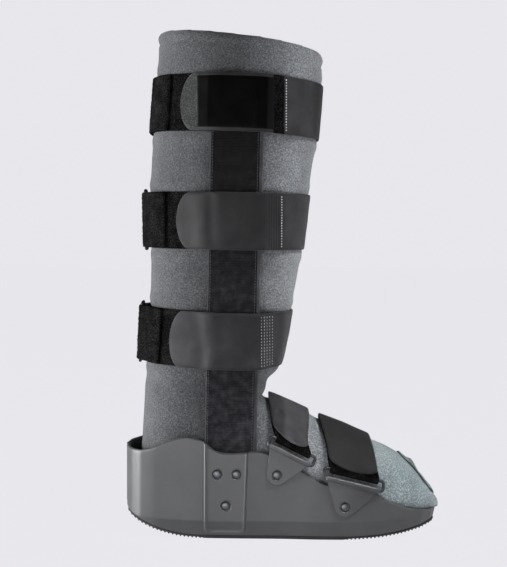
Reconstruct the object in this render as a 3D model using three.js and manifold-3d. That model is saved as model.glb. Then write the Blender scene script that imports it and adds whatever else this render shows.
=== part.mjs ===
// Medical walking boot: a padded liner in a moulded rocker base, held by three calf straps and
// two foot straps. Millimetres. +X points to the toe, +Z up, the side with the tab ends is -Y.
// The origin lies on the floor, under the side upright.
import * as THREE from "three";
import { mergeVertices } from "three/addons/utils/BufferGeometryUtils.js";
import Module from "manifold-3d";

const wasm = await Module();
wasm.setup();

// Driving sizes
const fitGap = 0.3;
const linerHeight = 448;
const calfDepth = 151;
const calfWidth = 120;
const legPadding = 9;
const footPadding = 7;
const topSlope = -0.12;
const topRounding = 3;
const shellLength = 285;
const shellHeelX = -0.3347 * shellLength;
const shellWidth = 106;
const shellWall = 3.5;
const floorThickness = 5.5;
const bevelHeight = 17;
const bevelInset = 4;
const treadThickness = 3.5;
const treadInset = 1.5;
const treadRibPitch = 5.6;
const treadRibDepth = 1.3;
const heelRise = 14;
const toeRise = 6;
const flatHeelX = -0.0877 * shellLength;
const flatToeX = 0.3684 * shellLength;
const footHeight = 124;
const tapeWidth = 49;
const tapeThickness = 1.8;
const tapeGap = 0.4;
const uprightWidth = 46;
const uprightThickness = 4;
const uprightTop = 398;
const uprightBottom = 28;
const panelRise = 1.6;
const footRoom = 2;
const uprightRoom = 1.6;
const narrowShare = 0.915;
const footWidth = shellWidth - 2 * (shellWall + footRoom);
const ankleWidth = narrowShare * shellWidth - 2 * (shellWall + uprightThickness + uprightRoom);
const ringWire = 1.3;
const ringSpan = 13;
const ringReach = 2.5;
const footRingWire = 1.5;
const footRingSpan = 8.5;
const plateThickness = 2;
const plateEnd = 9;
const rollRadius = 2.5;
const rivetDish = 9.6;
const rivetDishDepth = 1.7;
const rivetHead = 6.2;
const rivetHeadHeight = 1.3;

const ringCorner = 2.2;
const footRingCorner = 2.4;
const wrapThickness = 2.2;
const wrapBump = 3.2;
const wrapRise = 0.6;
const cornerEase = 0.5;
const tapeBow = 0.8;
const barInset = 1.2;
const rollInset = 2.4;
const leaveRise = 5;

const legCorner = 2.2;
const footCorner = 2.5;
const outerSides = 32;
const outerSteps = 15;
const innerSides = 24;
const innerSteps = 9;

// Degrees round the leg: the turn of a tape's end round a wire, the ring's half turn, the room
// between the ring and a tape's fold, the start of the loop tape, the length of the tab's round
// end and the stretch where the main tape comes down to the liner.
const foldTurn = 190;
const ringTurn = 6;
const foldRoom = 9;
const loopStart = 84;
const tabTurn = 11;
const settleFrom = 30;
const settleTo = 78;
// The same on the foot: the start of the loop tape and the first angle past the tab.
const footLoopStart = 92;
const footTabTurn = 14;

// Leg of the liner: height as a share of the liner's height, the middle and the depth as shares
// of the calf's depth, and the width as a share of the ankle's width plus one of the calf's.
const legSections = [
  { up: 0.022, middle: -0.205, depth: 0.52, ankle: 0.792, calf: 0 },
  { up: 0.032, middle: -0.205, depth: 0.61, ankle: 0.914, calf: 0 },
  { up: 0.06, middle: -0.205, depth: 0.665, ankle: 0.975, calf: 0 },
  { up: 0.135, middle: -0.205, depth: 0.682, ankle: 1.0, calf: 0 },
  { up: 0.205, middle: -0.187, depth: 0.69, ankle: 1.023, calf: 0 },
  { up: 0.265, middle: -0.164, depth: 0.712, ankle: 0.8, calf: 0.2 },
  { up: 0.288, middle: -0.147, depth: 0.735, ankle: 0.72, calf: 0.269 },
  { up: 0.328, middle: -0.101, depth: 0.803, ankle: 0.64, calf: 0.347 },
  { up: 0.4, middle: -0.07, depth: 0.84, ankle: 0.45, calf: 0.515 },
  { up: 0.473, middle: -0.049, depth: 0.87, ankle: 0.25, calf: 0.686 },
  { up: 0.556, middle: -0.022, depth: 0.913, ankle: 0.1, calf: 0.826 },
  { up: 0.7, middle: 0.0, depth: 0.968, ankle: 0, calf: 0.95 },
  { up: 0.783, middle: 0.03, depth: 0.993, ankle: 0, calf: 0.975 },
  { up: 0.95, middle: 0.064, depth: 1.0, ankle: 0, calf: 1.0 },
  { up: 1.06, middle: 0.066, depth: 1.0, ankle: 0, calf: 1.0 },
];

// Foot of the liner: distance from the heel of the shell as a share of its length, bottom and top
// as shares of the foot's height, width as a share of the foot's width.
const footSections = [
  { along: 0.15, bottom: 0.078, top: 0.4, width: 0.7 },
  { along: 0.23, bottom: 0.077, top: 0.8, width: 0.82 },
  { along: 0.335, bottom: 0.077, top: 0.975, width: 0.835 },
  { along: 0.44, bottom: 0.077, top: 0.946, width: 0.86 },
  { along: 0.528, bottom: 0.077, top: 0.866, width: 0.905 },
  { along: 0.616, bottom: 0.077, top: 0.776, width: 0.955 },
  { along: 0.703, bottom: 0.077, top: 0.698, width: 1.0 },
  { along: 0.79, bottom: 0.08, top: 0.612, width: 0.975 },
  { along: 0.844, bottom: 0.085, top: 0.562, width: 0.905 },
  { along: 0.89, bottom: 0.094, top: 0.5, width: 0.8 },
  { along: 0.93, bottom: 0.107, top: 0.415, width: 0.655 },
  { along: 0.963, bottom: 0.122, top: 0.322, width: 0.475 },
  { along: 0.985, bottom: 0.122, top: 0.257, width: 0.34 },
  { along: 1.0, bottom: 0.122, top: 0.212, width: 0.2 },
  { along: 1.0085, bottom: 0.127, top: 0.185, width: 0.1 },
];

// Plan of the shell: distance from its heel as a share of its length, width as a share of its width.
const shellPlan = [
  { along: 0.0, width: 0.0 },
  { along: 0.008, width: 0.27 },
  { along: 0.026, width: 0.47 },
  { along: 0.054, width: 0.635 },
  { along: 0.107, width: 0.775 },
  { along: 0.177, width: 0.86 },
  { along: 0.264, width: 0.915 },
  { along: 0.37, width: 0.94 },
  { along: 0.51, width: 0.962 },
  { along: 0.615, width: 1.0 },
  { along: 0.72, width: 1.0 },
  { along: 0.808, width: 0.935 },
  { along: 0.878, width: 0.795 },
  { along: 0.938, width: 0.585 },
  { along: 0.977, width: 0.35 },
  { along: 0.994, width: 0.17 },
  { along: 1.0, width: 0.0 },
];

// Rim of the shell: distance from its heel as a share of its length, height as a share of the
// foot's height.
const rimLine = [
  { along: -0.01, height: 0.61 },
  { along: 0.03, height: 0.605 },
  { along: 0.075, height: 0.62 },
  { along: 0.116, height: 0.655 },
  { along: 0.155, height: 0.694 },
  { along: 0.193, height: 0.72 },
  { along: 0.23, height: 0.713 },
  { along: 0.26, height: 0.69 },
  { along: 0.282, height: 0.648 },
  { along: 0.305, height: 0.622 },
  { along: 0.342, height: 0.614 },
  { along: 0.45, height: 0.618 },
  { along: 0.56, height: 0.493 },
  { along: 0.624, height: 0.408 },
  { along: 0.797, height: 0.326 },
  { along: 0.815, height: 0.286 },
  { along: 0.89, height: 0.213 },
  { along: 0.968, height: 0.153 },
  { along: 1.01, height: 0.113 },
];

// Calf straps: height of the middle at the back and at the front as shares of the liner's height,
// the near-side angle where the tab ends, the angle of the ring and its distance off the liner.
const calfStraps = [
  { name: "1", back: 0.8594, front: 0.8449, tabAngle: 125, ringAngle: 204, standOff: 3 },
  { name: "2", back: 0.6272, front: 0.6217, tabAngle: 123, ringAngle: 180, standOff: 3.2 },
  { name: "3", back: 0.3973, front: 0.3862, tabAngle: 125, ringAngle: 180, standOff: 6 },
];

// Foot straps: the ends of the plate's rolled edge, the strap's edges on the instep and the
// plate's rivet. Along is a share of the shell's length from its heel, up one of the foot's height.
const footStraps = [
  {
    name: "1",
    rollBack: { along: 0.4628, up: 0.6758 },
    rollFront: { along: 0.5821, up: 0.5435 },
    topBack: 0.4611,
    topFront: 0.5874,
    rivet: { along: 0.4835, up: 0.4661 },
  },
  {
    name: "2",
    rollBack: { along: 0.633, up: 0.4556 },
    rollFront: { along: 0.7979, up: 0.3589 },
    topBack: 0.626,
    topFront: 0.7839,
    rivet: { along: 0.6912, up: 0.2468 },
  },
];

// Rivets on the side panel, in the same shares.
const panelRivets = [
  { along: 0.2996, up: 0.4677 },
  { along: 0.3593, up: 0.4677 },
  { along: 0.3256, up: 0.246 },
];

// The raised side panel: its back edge, and its front edge at the sole and at the top.
const panelEdges = { back: 0.2593, frontLow: 0.3856, frontHigh: 0.3986, low: 0.0484 };

// The lap over the toe: where it starts and ends, and its small bump.
const toeLap = { start: 0.889, end: 0.991, bump: 0.926, bumpWidth: 0.0112 };

const alongX = (share) => shellHeelX + share * shellLength;
const upZ = (share) => share * footHeight;
const placed = ({ along, up }) => ({ x: alongX(along), z: upZ(up) });

const smooth = (a, b, c, d, t) =>
  0.5 *
  (2 * b + (c - a) * t + (2 * a - 5 * b + 4 * c - d) * t * t + (3 * b - a - 3 * c + d) * t * t * t);

// Reads a table at a place in its key column, on a smooth curve through the rows.
function readTable(rows, key, column, at) {
  const place = THREE.MathUtils.clamp(at, rows[0][key], rows[rows.length - 1][key]);
  let i = 0;
  while (i < rows.length - 2 && place > rows[i + 1][key]) i += 1;
  const row = (k) => rows[THREE.MathUtils.clamp(k, 0, rows.length - 1)][column];
  const t = (place - rows[i][key]) / (rows[i + 1][key] - rows[i][key]);
  return smooth(row(i - 1), row(i), row(i + 1), row(i + 2), t);
}

const signedPower = (value, power) => Math.sign(value) * Math.abs(value) ** power;
const radians = (degrees) => THREE.MathUtils.degToRad(degrees);

// Middle, half depth and half width of the leg at a height.
function legSize(z) {
  const up = z / linerHeight;
  const read = (column) => readTable(legSections, "up", column, up);
  return {
    middle: read("middle") * calfDepth,
    depth: (read("depth") * calfDepth) / 2,
    width: (read("ankle") * ankleWidth + read("calf") * calfWidth) / 2,
  };
}

// A point on the leg of the liner. Angle 0 is the front, 90 the near side, 180 the back.
function legPoint(angle, z, grow) {
  const { middle, depth, width } = legSize(z);
  const halfDepth = depth + grow;
  const halfWidth = width + grow;
  const a = radians(angle);
  return new THREE.Vector3(
    middle + halfDepth * signedPower(Math.cos(a), 2 / legCorner),
    -halfWidth * signedPower(Math.sin(a), 2 / legCorner),
    z,
  );
}

// A point on the foot of the liner. Angle 0 is the near side, 90 the top, 180 the far side.
function footPoint(angle, x, grow) {
  const along = (x - shellHeelX) / shellLength;
  const bottom = readTable(footSections, "along", "bottom", along) * footHeight;
  const top = readTable(footSections, "along", "top", along) * footHeight;
  const halfWidth = (readTable(footSections, "along", "width", along) * footWidth) / 2 + grow;
  const halfHeight = (top - bottom) / 2 + grow;
  const a = radians(angle);
  return new THREE.Vector3(
    x,
    -halfWidth * signedPower(Math.cos(a), 2 / footCorner),
    (top + bottom) / 2 + halfHeight * signedPower(Math.sin(a), 2 / footCorner),
  );
}

// The shell's outline seen from above, moved out or in along its own normal.
function planLoop(grow, z) {
  const side = [];
  const steps = 24;
  for (let i = 0; i <= steps; i += 1) {
    const share = (1 - Math.cos((Math.PI * i) / steps)) / 2;
    const half = (readTable(shellPlan, "along", "width", share) * shellWidth) / 2;
    side.push(new THREE.Vector2(shellHeelX + share * shellLength, Math.max(half, 0)));
  }
  const near = side.map((p) => new THREE.Vector2(p.x, -p.y));
  const far = side.slice(1, -1).reverse();
  const loop = near.concat(far);
  return loop.map((p, i) => {
    const before = loop[(i + loop.length - 1) % loop.length];
    const after = loop[(i + 1) % loop.length];
    const along = after.clone().sub(before).normalize();
    return new THREE.Vector3(p.x + along.y * grow, p.y - along.x * grow, z);
  });
}

function geometryOf(points, faces) {
  const geometry = new THREE.BufferGeometry();
  const flat = points.flatMap((p) => [p.x, p.y, p.z]);
  let volume = 0;
  for (const [a, b, c] of faces) {
    volume += points[a].dot(points[b].clone().cross(points[c]));
  }
  const turned = volume < 0 ? faces.map(([a, b, c]) => [a, c, b]) : faces;
  geometry.setAttribute("position", new THREE.Float32BufferAttribute(flat, 3));
  geometry.setIndex(turned.flat());
  return geometry;
}

// A closed body through rings of equal count, closed by a fan at each end.
function loft(rings) {
  const count = rings[0].length;
  const points = rings.flat();
  const faces = [];
  for (let r = 0; r < rings.length - 1; r += 1) {
    for (let i = 0; i < count; i += 1) {
      const a = r * count + i;
      const b = r * count + ((i + 1) % count);
      faces.push([a, b, b + count], [a, b + count, a + count]);
    }
  }
  for (const [ring, start, turned] of [
    [rings[0], 0, true],
    [rings[rings.length - 1], (rings.length - 1) * count, false],
  ]) {
    const centre = ring.reduce((sum, p) => sum.add(p), new THREE.Vector3());
    points.push(centre.multiplyScalar(1 / count));
    for (let i = 0; i < count; i += 1) {
      const a = start + i;
      const b = start + ((i + 1) % count);
      faces.push(turned ? [b, a, points.length - 1] : [a, b, points.length - 1]);
    }
  }
  return geometryOf(points, faces);
}

// A closed body from a grid of points with an inner and an outer face.
function slab(rows, columns, at) {
  const points = [];
  for (const side of [0, 1]) {
    for (let i = 0; i <= rows; i += 1) {
      for (let j = 0; j <= columns; j += 1) points.push(at(i, j, side));
    }
  }
  const index = (i, j, side) => (side * (rows + 1) + i) * (columns + 1) + j;
  const faces = [];
  const quad = (a, b, c, d) => faces.push([a, b, c], [a, c, d]);
  for (let i = 0; i < rows; i += 1) {
    for (let j = 0; j < columns; j += 1) {
      quad(index(i, j, 1), index(i + 1, j, 1), index(i + 1, j + 1, 1), index(i, j + 1, 1));
      quad(index(i, j, 0), index(i, j + 1, 0), index(i + 1, j + 1, 0), index(i + 1, j, 0));
    }
    quad(index(i, 0, 0), index(i + 1, 0, 0), index(i + 1, 0, 1), index(i, 0, 1));
    quad(index(i, columns, 1), index(i + 1, columns, 1), index(i + 1, columns, 0), index(i, columns, 0));
  }
  for (let j = 0; j < columns; j += 1) {
    quad(index(0, j, 1), index(0, j + 1, 1), index(0, j + 1, 0), index(0, j, 0));
    quad(index(rows, j, 0), index(rows, j + 1, 0), index(rows, j + 1, 1), index(rows, j, 1));
  }
  return geometryOf(points, faces);
}

// A tape through lines of stations laid side by side, half its thickness to either side.
function tape(lines, thickness) {
  const low = lines[0];
  const high = lines[lines.length - 1];
  const normals = low.map((_, i) => {
    const a = Math.max(i - 1, 0);
    const b = Math.min(i + 1, low.length - 1);
    const along = low[b].clone().add(high[b]).sub(low[a]).sub(high[a]);
    return along.cross(high[i].clone().sub(low[i])).normalize();
  });
  return slab(low.length - 1, lines.length - 1, (i, j, side) =>
    lines[j][i].clone().addScaledVector(normals[i], (side - 0.5) * thickness),
  );
}

const tapeLines = (edge, strap) => [-1, 0, 1].map((across) => edge(strap, across));

// A closed wire through the points of a loop.
function wire(loop, radius) {
  const sides = 6;
  const points = [];
  const centre = loop.reduce((sum, p) => sum.add(p), new THREE.Vector3()).multiplyScalar(1 / loop.length);
  const flat = loop[0].clone().sub(centre).cross(loop[2].clone().sub(centre)).normalize();
  loop.forEach((p, i) => {
    const before = loop[(i + loop.length - 1) % loop.length];
    const after = loop[(i + 1) % loop.length];
    const along = after.clone().sub(before).normalize();
    const out = along.clone().cross(flat).normalize();
    for (let k = 0; k < sides; k += 1) {
      const a = (2 * Math.PI * (k + 0.5)) / sides;
      points.push(
        p
          .clone()
          .addScaledVector(out, radius * Math.cos(a))
          .addScaledVector(flat, radius * Math.sin(a)),
      );
    }
  });
  const faces = [];
  for (let i = 0; i < loop.length; i += 1) {
    for (let k = 0; k < sides; k += 1) {
      const a = i * sides + k;
      const b = i * sides + ((k + 1) % sides);
      const next = ((i + 1) % loop.length) * sides;
      faces.push([a, b, next + ((k + 1) % sides)], [a, next + ((k + 1) % sides), next + k]);
    }
  }
  return geometryOf(points, faces);
}

// Corner points of a rounded rectangle: a middle, two half directions and a corner radius.
function roundedLoop(middle, halfAcross, halfUp, radius) {
  const loop = [];
  const across = halfAcross.clone().normalize();
  const up = halfUp.clone().normalize();
  const corners = [
    [1, 1, 0],
    [-1, 1, 90],
    [-1, -1, 180],
    [1, -1, 270],
  ];
  for (const [sx, sy, start] of corners) {
    for (const turn of [0, 45, 90]) {
      const a = radians(start + turn);
      loop.push(
        middle
          .clone()
          .addScaledVector(across, sx * (halfAcross.length() - radius) + radius * Math.cos(a))
          .addScaledVector(up, sy * (halfUp.length() - radius) + radius * Math.sin(a)),
      );
    }
  }
  return loop;
}

function solidFrom(geometry) {
  const bare = geometry.clone();
  bare.deleteAttribute("normal");
  bare.deleteAttribute("uv");
  const merged = mergeVertices(bare, 1e-4);
  return new wasm.Manifold(
    new wasm.Mesh({
      numProp: 3,
      vertProperties: merged.attributes.position.array,
      triVerts: new Uint32Array(merged.index.array),
    }),
  );
}

function geometryFrom(solid) {
  const mesh = solid.getMesh();
  const geometry = new THREE.BufferGeometry();
  geometry.setAttribute("position", new THREE.BufferAttribute(mesh.vertProperties, 3));
  geometry.setIndex(new THREE.BufferAttribute(mesh.triVerts, 1));
  return geometry;
}

// A straight body of an outline drawn in X and Z, spanning a range of Y.
function sidePrism(outline, yFrom, yTo) {
  const shape = new THREE.Shape(outline.map((p) => new THREE.Vector2(p.x, p.z)));
  const geometry = new THREE.ExtrudeGeometry(shape, { depth: yTo - yFrom, bevelEnabled: false });
  geometry.rotateX(Math.PI / 2);
  geometry.translate(0, yTo, 0);
  return solidFrom(geometry);
}

const mirrorY = (geometry) => {
  const copy = geometry.clone();
  copy.scale(1, -1, 1);
  const index = Array.from(copy.index.array);
  for (let i = 0; i < index.length; i += 3) [index[i + 1], index[i + 2]] = [index[i + 2], index[i + 1]];
  copy.setIndex(index);
  return copy;
};

// Liner

function legRing(up, grow, sides) {
  const ring = [];
  const tiltShare = THREE.MathUtils.smoothstep(up, 0.6, 1);
  for (let i = 0; i < sides; i += 1) {
    const angle = (360 * i) / sides;
    const tilt = tiltShare * topSlope * (calfDepth / 2) * (1 + Math.cos(radians(angle)));
    ring.push(legPoint(angle, up * linerHeight + tilt, grow));
  }
  return ring;
}

function legBody(grow, upFrom, upTo, steps, sides) {
  const rings = [];
  for (let i = 0; i <= steps; i += 1) {
    const up = upFrom + (upTo - upFrom) * (i / steps) ** 1.15;
    rings.push(legRing(up, grow, sides));
  }
  return rings;
}

function footBody(grow, steps, sides) {
  const rings = [];
  const first = footSections[0].along * shellLength + shellHeelX;
  const last = shellHeelX + footSections[footSections.length - 1].along * shellLength;
  for (let i = 0; i <= steps; i += 1) {
    const x = first + (last + grow - first) * Math.sin((Math.PI / 2) * (i / steps));
    const ring = [];
    for (let k = 0; k < sides; k += 1) ring.push(footPoint((360 * k) / sides, x, grow));
    rings.push(ring);
  }
  return loft(rings);
}

function makeLiner() {
  const edge = 1 - topRounding / linerHeight;
  const outerRings = legBody(0, legSections[0].up, edge, outerSteps, outerSides);
  outerRings.push(legRing(1, -topRounding / 2, outerSides));
  const outer = solidFrom(loft(outerRings)).add(solidFrom(footBody(0, outerSteps, outerSides)));
  const legHollow = solidFrom(loft(legBody(-legPadding, 0.055, 1.02, innerSteps, innerSides)));
  const footHollow = solidFrom(footBody(-footPadding, innerSteps, innerSides));
  const liner = outer.subtract(shellBody(fitGap)).subtract(belowFloor());
  return geometryFrom(liner.subtract(legHollow.add(footHollow)));
}

function makeToeWrap() {
  const rows = 12;
  const columns = 8;
  return slab(rows, columns, (i, j, side) => {
    const share = i / rows;
    const x = alongX(toeLap.start + (toeLap.end - toeLap.start) * share);
    const seamAngle = 88 - 26 * share;
    const angle = seamAngle + (176 - seamAngle) * (j / columns);
    const fromBump = (x - alongX(toeLap.bump)) / (toeLap.bumpWidth * shellLength);
    const bump = wrapBump * Math.exp(-(fromBump ** 2) - ((angle - 92) / 14) ** 2);
    return footPoint(angle, x, fitGap + wrapRise * share + side * (wrapThickness + bump));
  });
}

// Shell and tread

function rocker(x) {
  if (x < flatHeelX) return heelRise * ((flatHeelX - x) / (flatHeelX - shellHeelX - 8)) ** 2.1;
  const toeX = shellHeelX + shellLength;
  if (x > flatToeX) return toeRise * ((x - flatToeX) / (toeX - flatToeX)) ** 1.6;
  return 0;
}

function rimHeight(x) {
  const along = (x - shellHeelX) / shellLength;
  return readTable(rimLine, "along", "height", along) * footHeight;
}

function shellProfile(extra) {
  const outline = [];
  const steps = 48;
  const from = shellHeelX - 3;
  const to = shellHeelX + shellLength + 3;
  for (let i = 0; i <= steps; i += 1) {
    const x = from + ((to - from) * i) / steps;
    outline.push({ x, z: rocker(Math.max(x, shellHeelX)) + treadThickness - extra });
  }
  for (let i = steps; i >= 0; i -= 1) {
    const x = from + ((to - from) * i) / steps;
    outline.push({ x, z: rimHeight(x) + extra });
  }
  return outline;
}

function planBody(levels) {
  return solidFrom(loft(levels.map(({ z, grow }) => planLoop(grow, z))));
}

const wallTop = 0.9 * footHeight;

function shellOuter(grow) {
  return planBody([
    { z: 0, grow: grow - bevelInset },
    { z: bevelHeight, grow },
    { z: wallTop, grow },
  ]);
}

function panelOutline() {
  return [
    { x: alongX(panelEdges.back), z: upZ(panelEdges.low) },
    { x: alongX(panelEdges.frontLow), z: upZ(panelEdges.low) },
    { x: alongX(panelEdges.frontHigh), z: wallTop },
    { x: alongX(panelEdges.back), z: wallTop },
  ];
}

function rivetSeat(x, z, face, side) {
  const wide = rivetDish / 2;
  const narrow = wide * 0.72;
  const [top, bottom] = side < 0 ? [narrow, wide] : [wide, narrow];
  const cone = new THREE.CylinderGeometry(top, bottom, rivetDishDepth, 14, 1);
  cone.translate(x, side * (face - rivetDishDepth / 2 + 0.01), z);
  return solidFrom(cone);
}

function shellHalfWidth(x) {
  const along = (x - shellHeelX) / shellLength;
  return (readTable(shellPlan, "along", "width", along) * shellWidth) / 2;
}

// The shell's body. Extra thickens every wall, for cutting its neighbours clear of it.
function shellBody(extra) {
  let body = shellOuter(extra);
  for (const side of [-1, 1]) {
    const span = side < 0 ? [-shellWidth, 0] : [0, shellWidth];
    const panel = shellOuter(panelRise + extra).intersect(sidePrism(panelOutline(), ...span));
    body = body.add(panel);
  }
  body = body.intersect(sidePrism(shellProfile(extra), -shellWidth, shellWidth));
  const wall = shellWall + extra;
  const floor = treadThickness + floorThickness + extra;
  const hollow = planBody([
    { z: floor - 1, grow: -wall - 2 },
    { z: floor + 5, grow: -wall },
    { z: wallTop + 1, grow: -wall },
  ]);
  return body.subtract(hollow.intersect(sidePrism(aboveFloor(floor), -shellWidth, shellWidth)));
}

// Everything above the shell's inner floor, which follows the rocker at the heel and the toe.
function aboveFloor(floor) {
  const steps = 40;
  const outline = [];
  for (let i = 0; i <= steps; i += 1) {
    const x = shellHeelX + (shellLength * i) / steps;
    outline.push({ x, z: rocker(x) + floor });
  }
  outline.push({ x: shellHeelX + shellLength, z: wallTop + 5 }, { x: shellHeelX, z: wallTop + 5 });
  return outline;
}

// Everything under the liner, down past the sole.
function belowFloor() {
  const steps = 24;
  const end = shellLength * 0.965;
  const outline = [{ x: shellHeelX, z: -20 }];
  for (let i = 0; i <= steps; i += 1) {
    const x = shellHeelX + (end * i) / steps;
    outline.push({ x, z: rocker(x) + treadThickness + floorThickness + fitGap });
  }
  outline.push({ x: shellHeelX + end, z: -20 });
  return sidePrism(outline, -shellWidth, shellWidth);
}

function makeShell() {
  let body = shellBody(0);
  for (const side of [-1, 1]) {
    for (const { x, z } of panelRivets.map(placed)) {
      const face = shellHalfWidth(x) + panelRise;
      body = body.subtract(rivetSeat(x, z, face, side));
    }
  }
  return geometryFrom(body);
}

function treadProfile() {
  const outline = [];
  const from = shellHeelX - 2;
  const to = shellHeelX + shellLength + 2;
  const half = treadRibPitch / 2;
  for (let x = from; x <= to; x += treadRibPitch) {
    const ribbed = x < flatHeelX || x > flatToeX ? treadRibDepth : 0;
    outline.push({ x, z: rocker(x) }, { x: x + half * 0.9, z: rocker(x + half * 0.9) });
    if (ribbed) {
      outline.push({ x: x + half, z: rocker(x + half) + ribbed });
      outline.push({ x: x + 2 * half * 0.95, z: rocker(x + 2 * half * 0.95) + ribbed });
    }
  }
  for (let i = 40; i >= 0; i -= 1) {
    const x = from + ((to - from) * i) / 40;
    outline.push({ x, z: rocker(x) + treadThickness - fitGap });
  }
  return outline;
}

function makeTread() {
  const plan = planBody([
    { z: -1, grow: -bevelInset - treadInset },
    { z: heelRise + toeRise, grow: -bevelInset * 0.2 - treadInset },
  ]);
  return geometryFrom(plan.intersect(sidePrism(treadProfile(), -shellWidth, shellWidth)));
}

// Upright covers

// A point of the upright cover. Share runs from -1 at its back edge to 1 at its front edge, and
// side from 0 on its inner face to 1 on its outer face.
function uprightPoint(z, share, side) {
  const half = uprightWidth / 2;
  const middle = 0.5 + (8 * (z - uprightBottom)) / (uprightTop - uprightBottom);
  const onEdge = Math.abs(share) === 1 ? side : 0;
  const x = middle + share * (half - 0.6 * onEdge);
  const outermost = Math.max(...[-1, -0.5, 0, 0.5, 1].map((s) => linerSide(middle + s * half, z)));
  const seat = THREE.MathUtils.lerp(linerSide(x, z), outermost, 0.65) + 2 * fitGap;
  return new THREE.Vector3(x, -(seat + side * uprightThickness - 1.1 * onEdge), z);
}

function makeUpright() {
  const rows = 14;
  const columns = 6;
  return slab(rows, columns, (i, j, side) => {
    const z = uprightBottom + ((uprightTop - uprightBottom) * i) / rows;
    return uprightPoint(z, (2 * j) / columns - 1, side);
  });
}

// Distance of the liner's side from the middle, at a place along X and a height.
function linerSide(x, z) {
  const { middle, depth: halfDepth, width: halfWidth } = legSize(z);
  const legShare = Math.min(Math.abs((x - middle) / halfDepth), 1);
  const leg = halfWidth * (1 - legShare ** legCorner) ** (1 / legCorner);
  const along = (x - shellHeelX) / shellLength;
  const bottom = readTable(footSections, "along", "bottom", along) * footHeight;
  const top = readTable(footSections, "along", "top", along) * footHeight;
  const footHalf = (readTable(footSections, "along", "width", along) * footWidth) / 2;
  const footShare = Math.min(Math.abs((2 * z - top - bottom) / (top - bottom)), 1);
  return Math.max(leg, footHalf * (1 - footShare ** footCorner) ** (1 / footCorner));
}

// Calf straps

// Offsets of the layers from the liner: the loop tape, its folded end, then the main tape.
const layerStep = tapeThickness + tapeGap;
const layerOne = tapeGap + tapeThickness / 2;

function strapHeight(strap, x) {
  const share = (x + calfDepth / 2) / calfDepth;
  return linerHeight * (strap.back + (strap.front - strap.back) * share);
}

// Corner points, in order, of the tight outline round a set of points in plan.
function tightOutline(points) {
  const sorted = [...points].sort((p, q) => p.x - q.x || p.y - q.y);
  const turn = (o, p, q) => (p.x - o.x) * (q.y - o.y) - (p.y - o.y) * (q.x - o.x);
  const half = (list) => {
    const chain = [];
    for (const p of list) {
      while (chain.length > 1 && turn(chain[chain.length - 2], chain[chain.length - 1], p) <= 0) chain.pop();
      chain.push(p);
    }
    return chain.slice(0, -1);
  };
  return half(sorted).concat(half(sorted.reverse()));
}

const outlineCache = new Map();

// Outline of the liner and both upright covers at a height, with an outward normal per corner.
function strapOutline(z) {
  const key = z.toFixed(2);
  if (outlineCache.has(key)) return outlineCache.get(key);
  const points = [];
  for (let angle = 0; angle < 360; angle += 7.5) points.push(legPoint(angle, z, 0));
  for (const share of [-1, -0.667, 0, 0.667, 1]) {
    const cover = uprightPoint(z, share, 1);
    points.push(cover, new THREE.Vector3(cover.x, -cover.y, z));
  }
  const loop = tightOutline(points);
  const normals = loop.map((_, i) => {
    const before = loop[(i + loop.length - 1) % loop.length];
    const after = loop[(i + 1) % loop.length];
    return new THREE.Vector3(after.y - before.y, before.x - after.x, 0).normalize();
  });
  outlineCache.set(key, { loop, normals });
  return outlineCache.get(key);
}

// A point of a calf strap. Across runs from -1 at its lower edge to 1 at its upper edge.
function strapPoint(strap, angle, across, lift) {
  const middle = strapHeight(strap, (calfDepth / 2) * Math.cos(radians(angle)));
  const z = middle + (across * tapeWidth) / 2;
  const centre = legPoint(0, z, 0).add(legPoint(180, z, 0)).multiplyScalar(0.5);
  const ray = legPoint(angle, z, 0).sub(centre);
  const { loop, normals } = strapOutline(z);
  const cross = (p, q) => p.x * q.y - p.y * q.x;
  for (let i = 0; i < loop.length; i += 1) {
    const next = (i + 1) % loop.length;
    const from = loop[i].clone().sub(centre);
    const edge = loop[next].clone().sub(loop[i]);
    const scale = cross(from, edge) / cross(ray, edge);
    const place = cross(from, ray) / cross(ray, edge);
    if (scale > 0 && place >= 0 && place <= 1) {
      const normal = normals[i].clone().lerp(normals[next], place).normalize();
      return new THREE.Vector3(loop[i].x, loop[i].y, z)
        .addScaledVector(edge.setZ(0), place)
        .addScaledVector(normal, lift + cornerEase);
    }
  }
  throw new Error("no strap point at " + angle);
}

// Middle of the ring, and the directions across it to the near side, up it and in to the leg.
function ringFrame(strap) {
  const lift = strap.standOff + layerOne;
  const near = strapPoint(strap, strap.ringAngle - ringTurn, 0, lift);
  const far = strapPoint(strap, strap.ringAngle + ringTurn, 0, lift);
  const middle = near.clone().add(far).multiplyScalar(0.5);
  const across = near.clone().sub(far).setZ(0).normalize();
  const ends = [-1, 1].map((end) => strapPoint(strap, strap.ringAngle, end, lift));
  const up = ends[1].sub(ends[0]).normalize();
  const inward = new THREE.Vector3().crossVectors(across, up).normalize();
  if (inward.dot(middle) > 0) inward.negate();
  return { middle, up, across, inward };
}

function barCentre(strap, sign, across) {
  const frame = ringFrame(strap);
  return frame.middle
    .clone()
    .addScaledVector(frame.across, (sign * ringSpan) / 2)
    .addScaledVector(frame.up, (across * tapeWidth) / 2);
}

const foldRadius = ringWire + tapeGap + tapeThickness / 2;

// The turn of a tape round a bar, from its inner side through the ring's window to its outer side.
function foldPoints(strap, sign, across) {
  const turns = 6;
  const { inward, across: sideways } = ringFrame(strap);
  const centre = barCentre(strap, sign, across);
  const list = [];
  for (let k = 0; k <= turns; k += 1) {
    const a = radians((foldTurn * k) / turns);
    list.push(
      centre
        .clone()
        .addScaledVector(inward, foldRadius * Math.cos(a))
        .addScaledVector(sideways, -sign * foldRadius * Math.sin(a)),
    );
  }
  return list;
}

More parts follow.
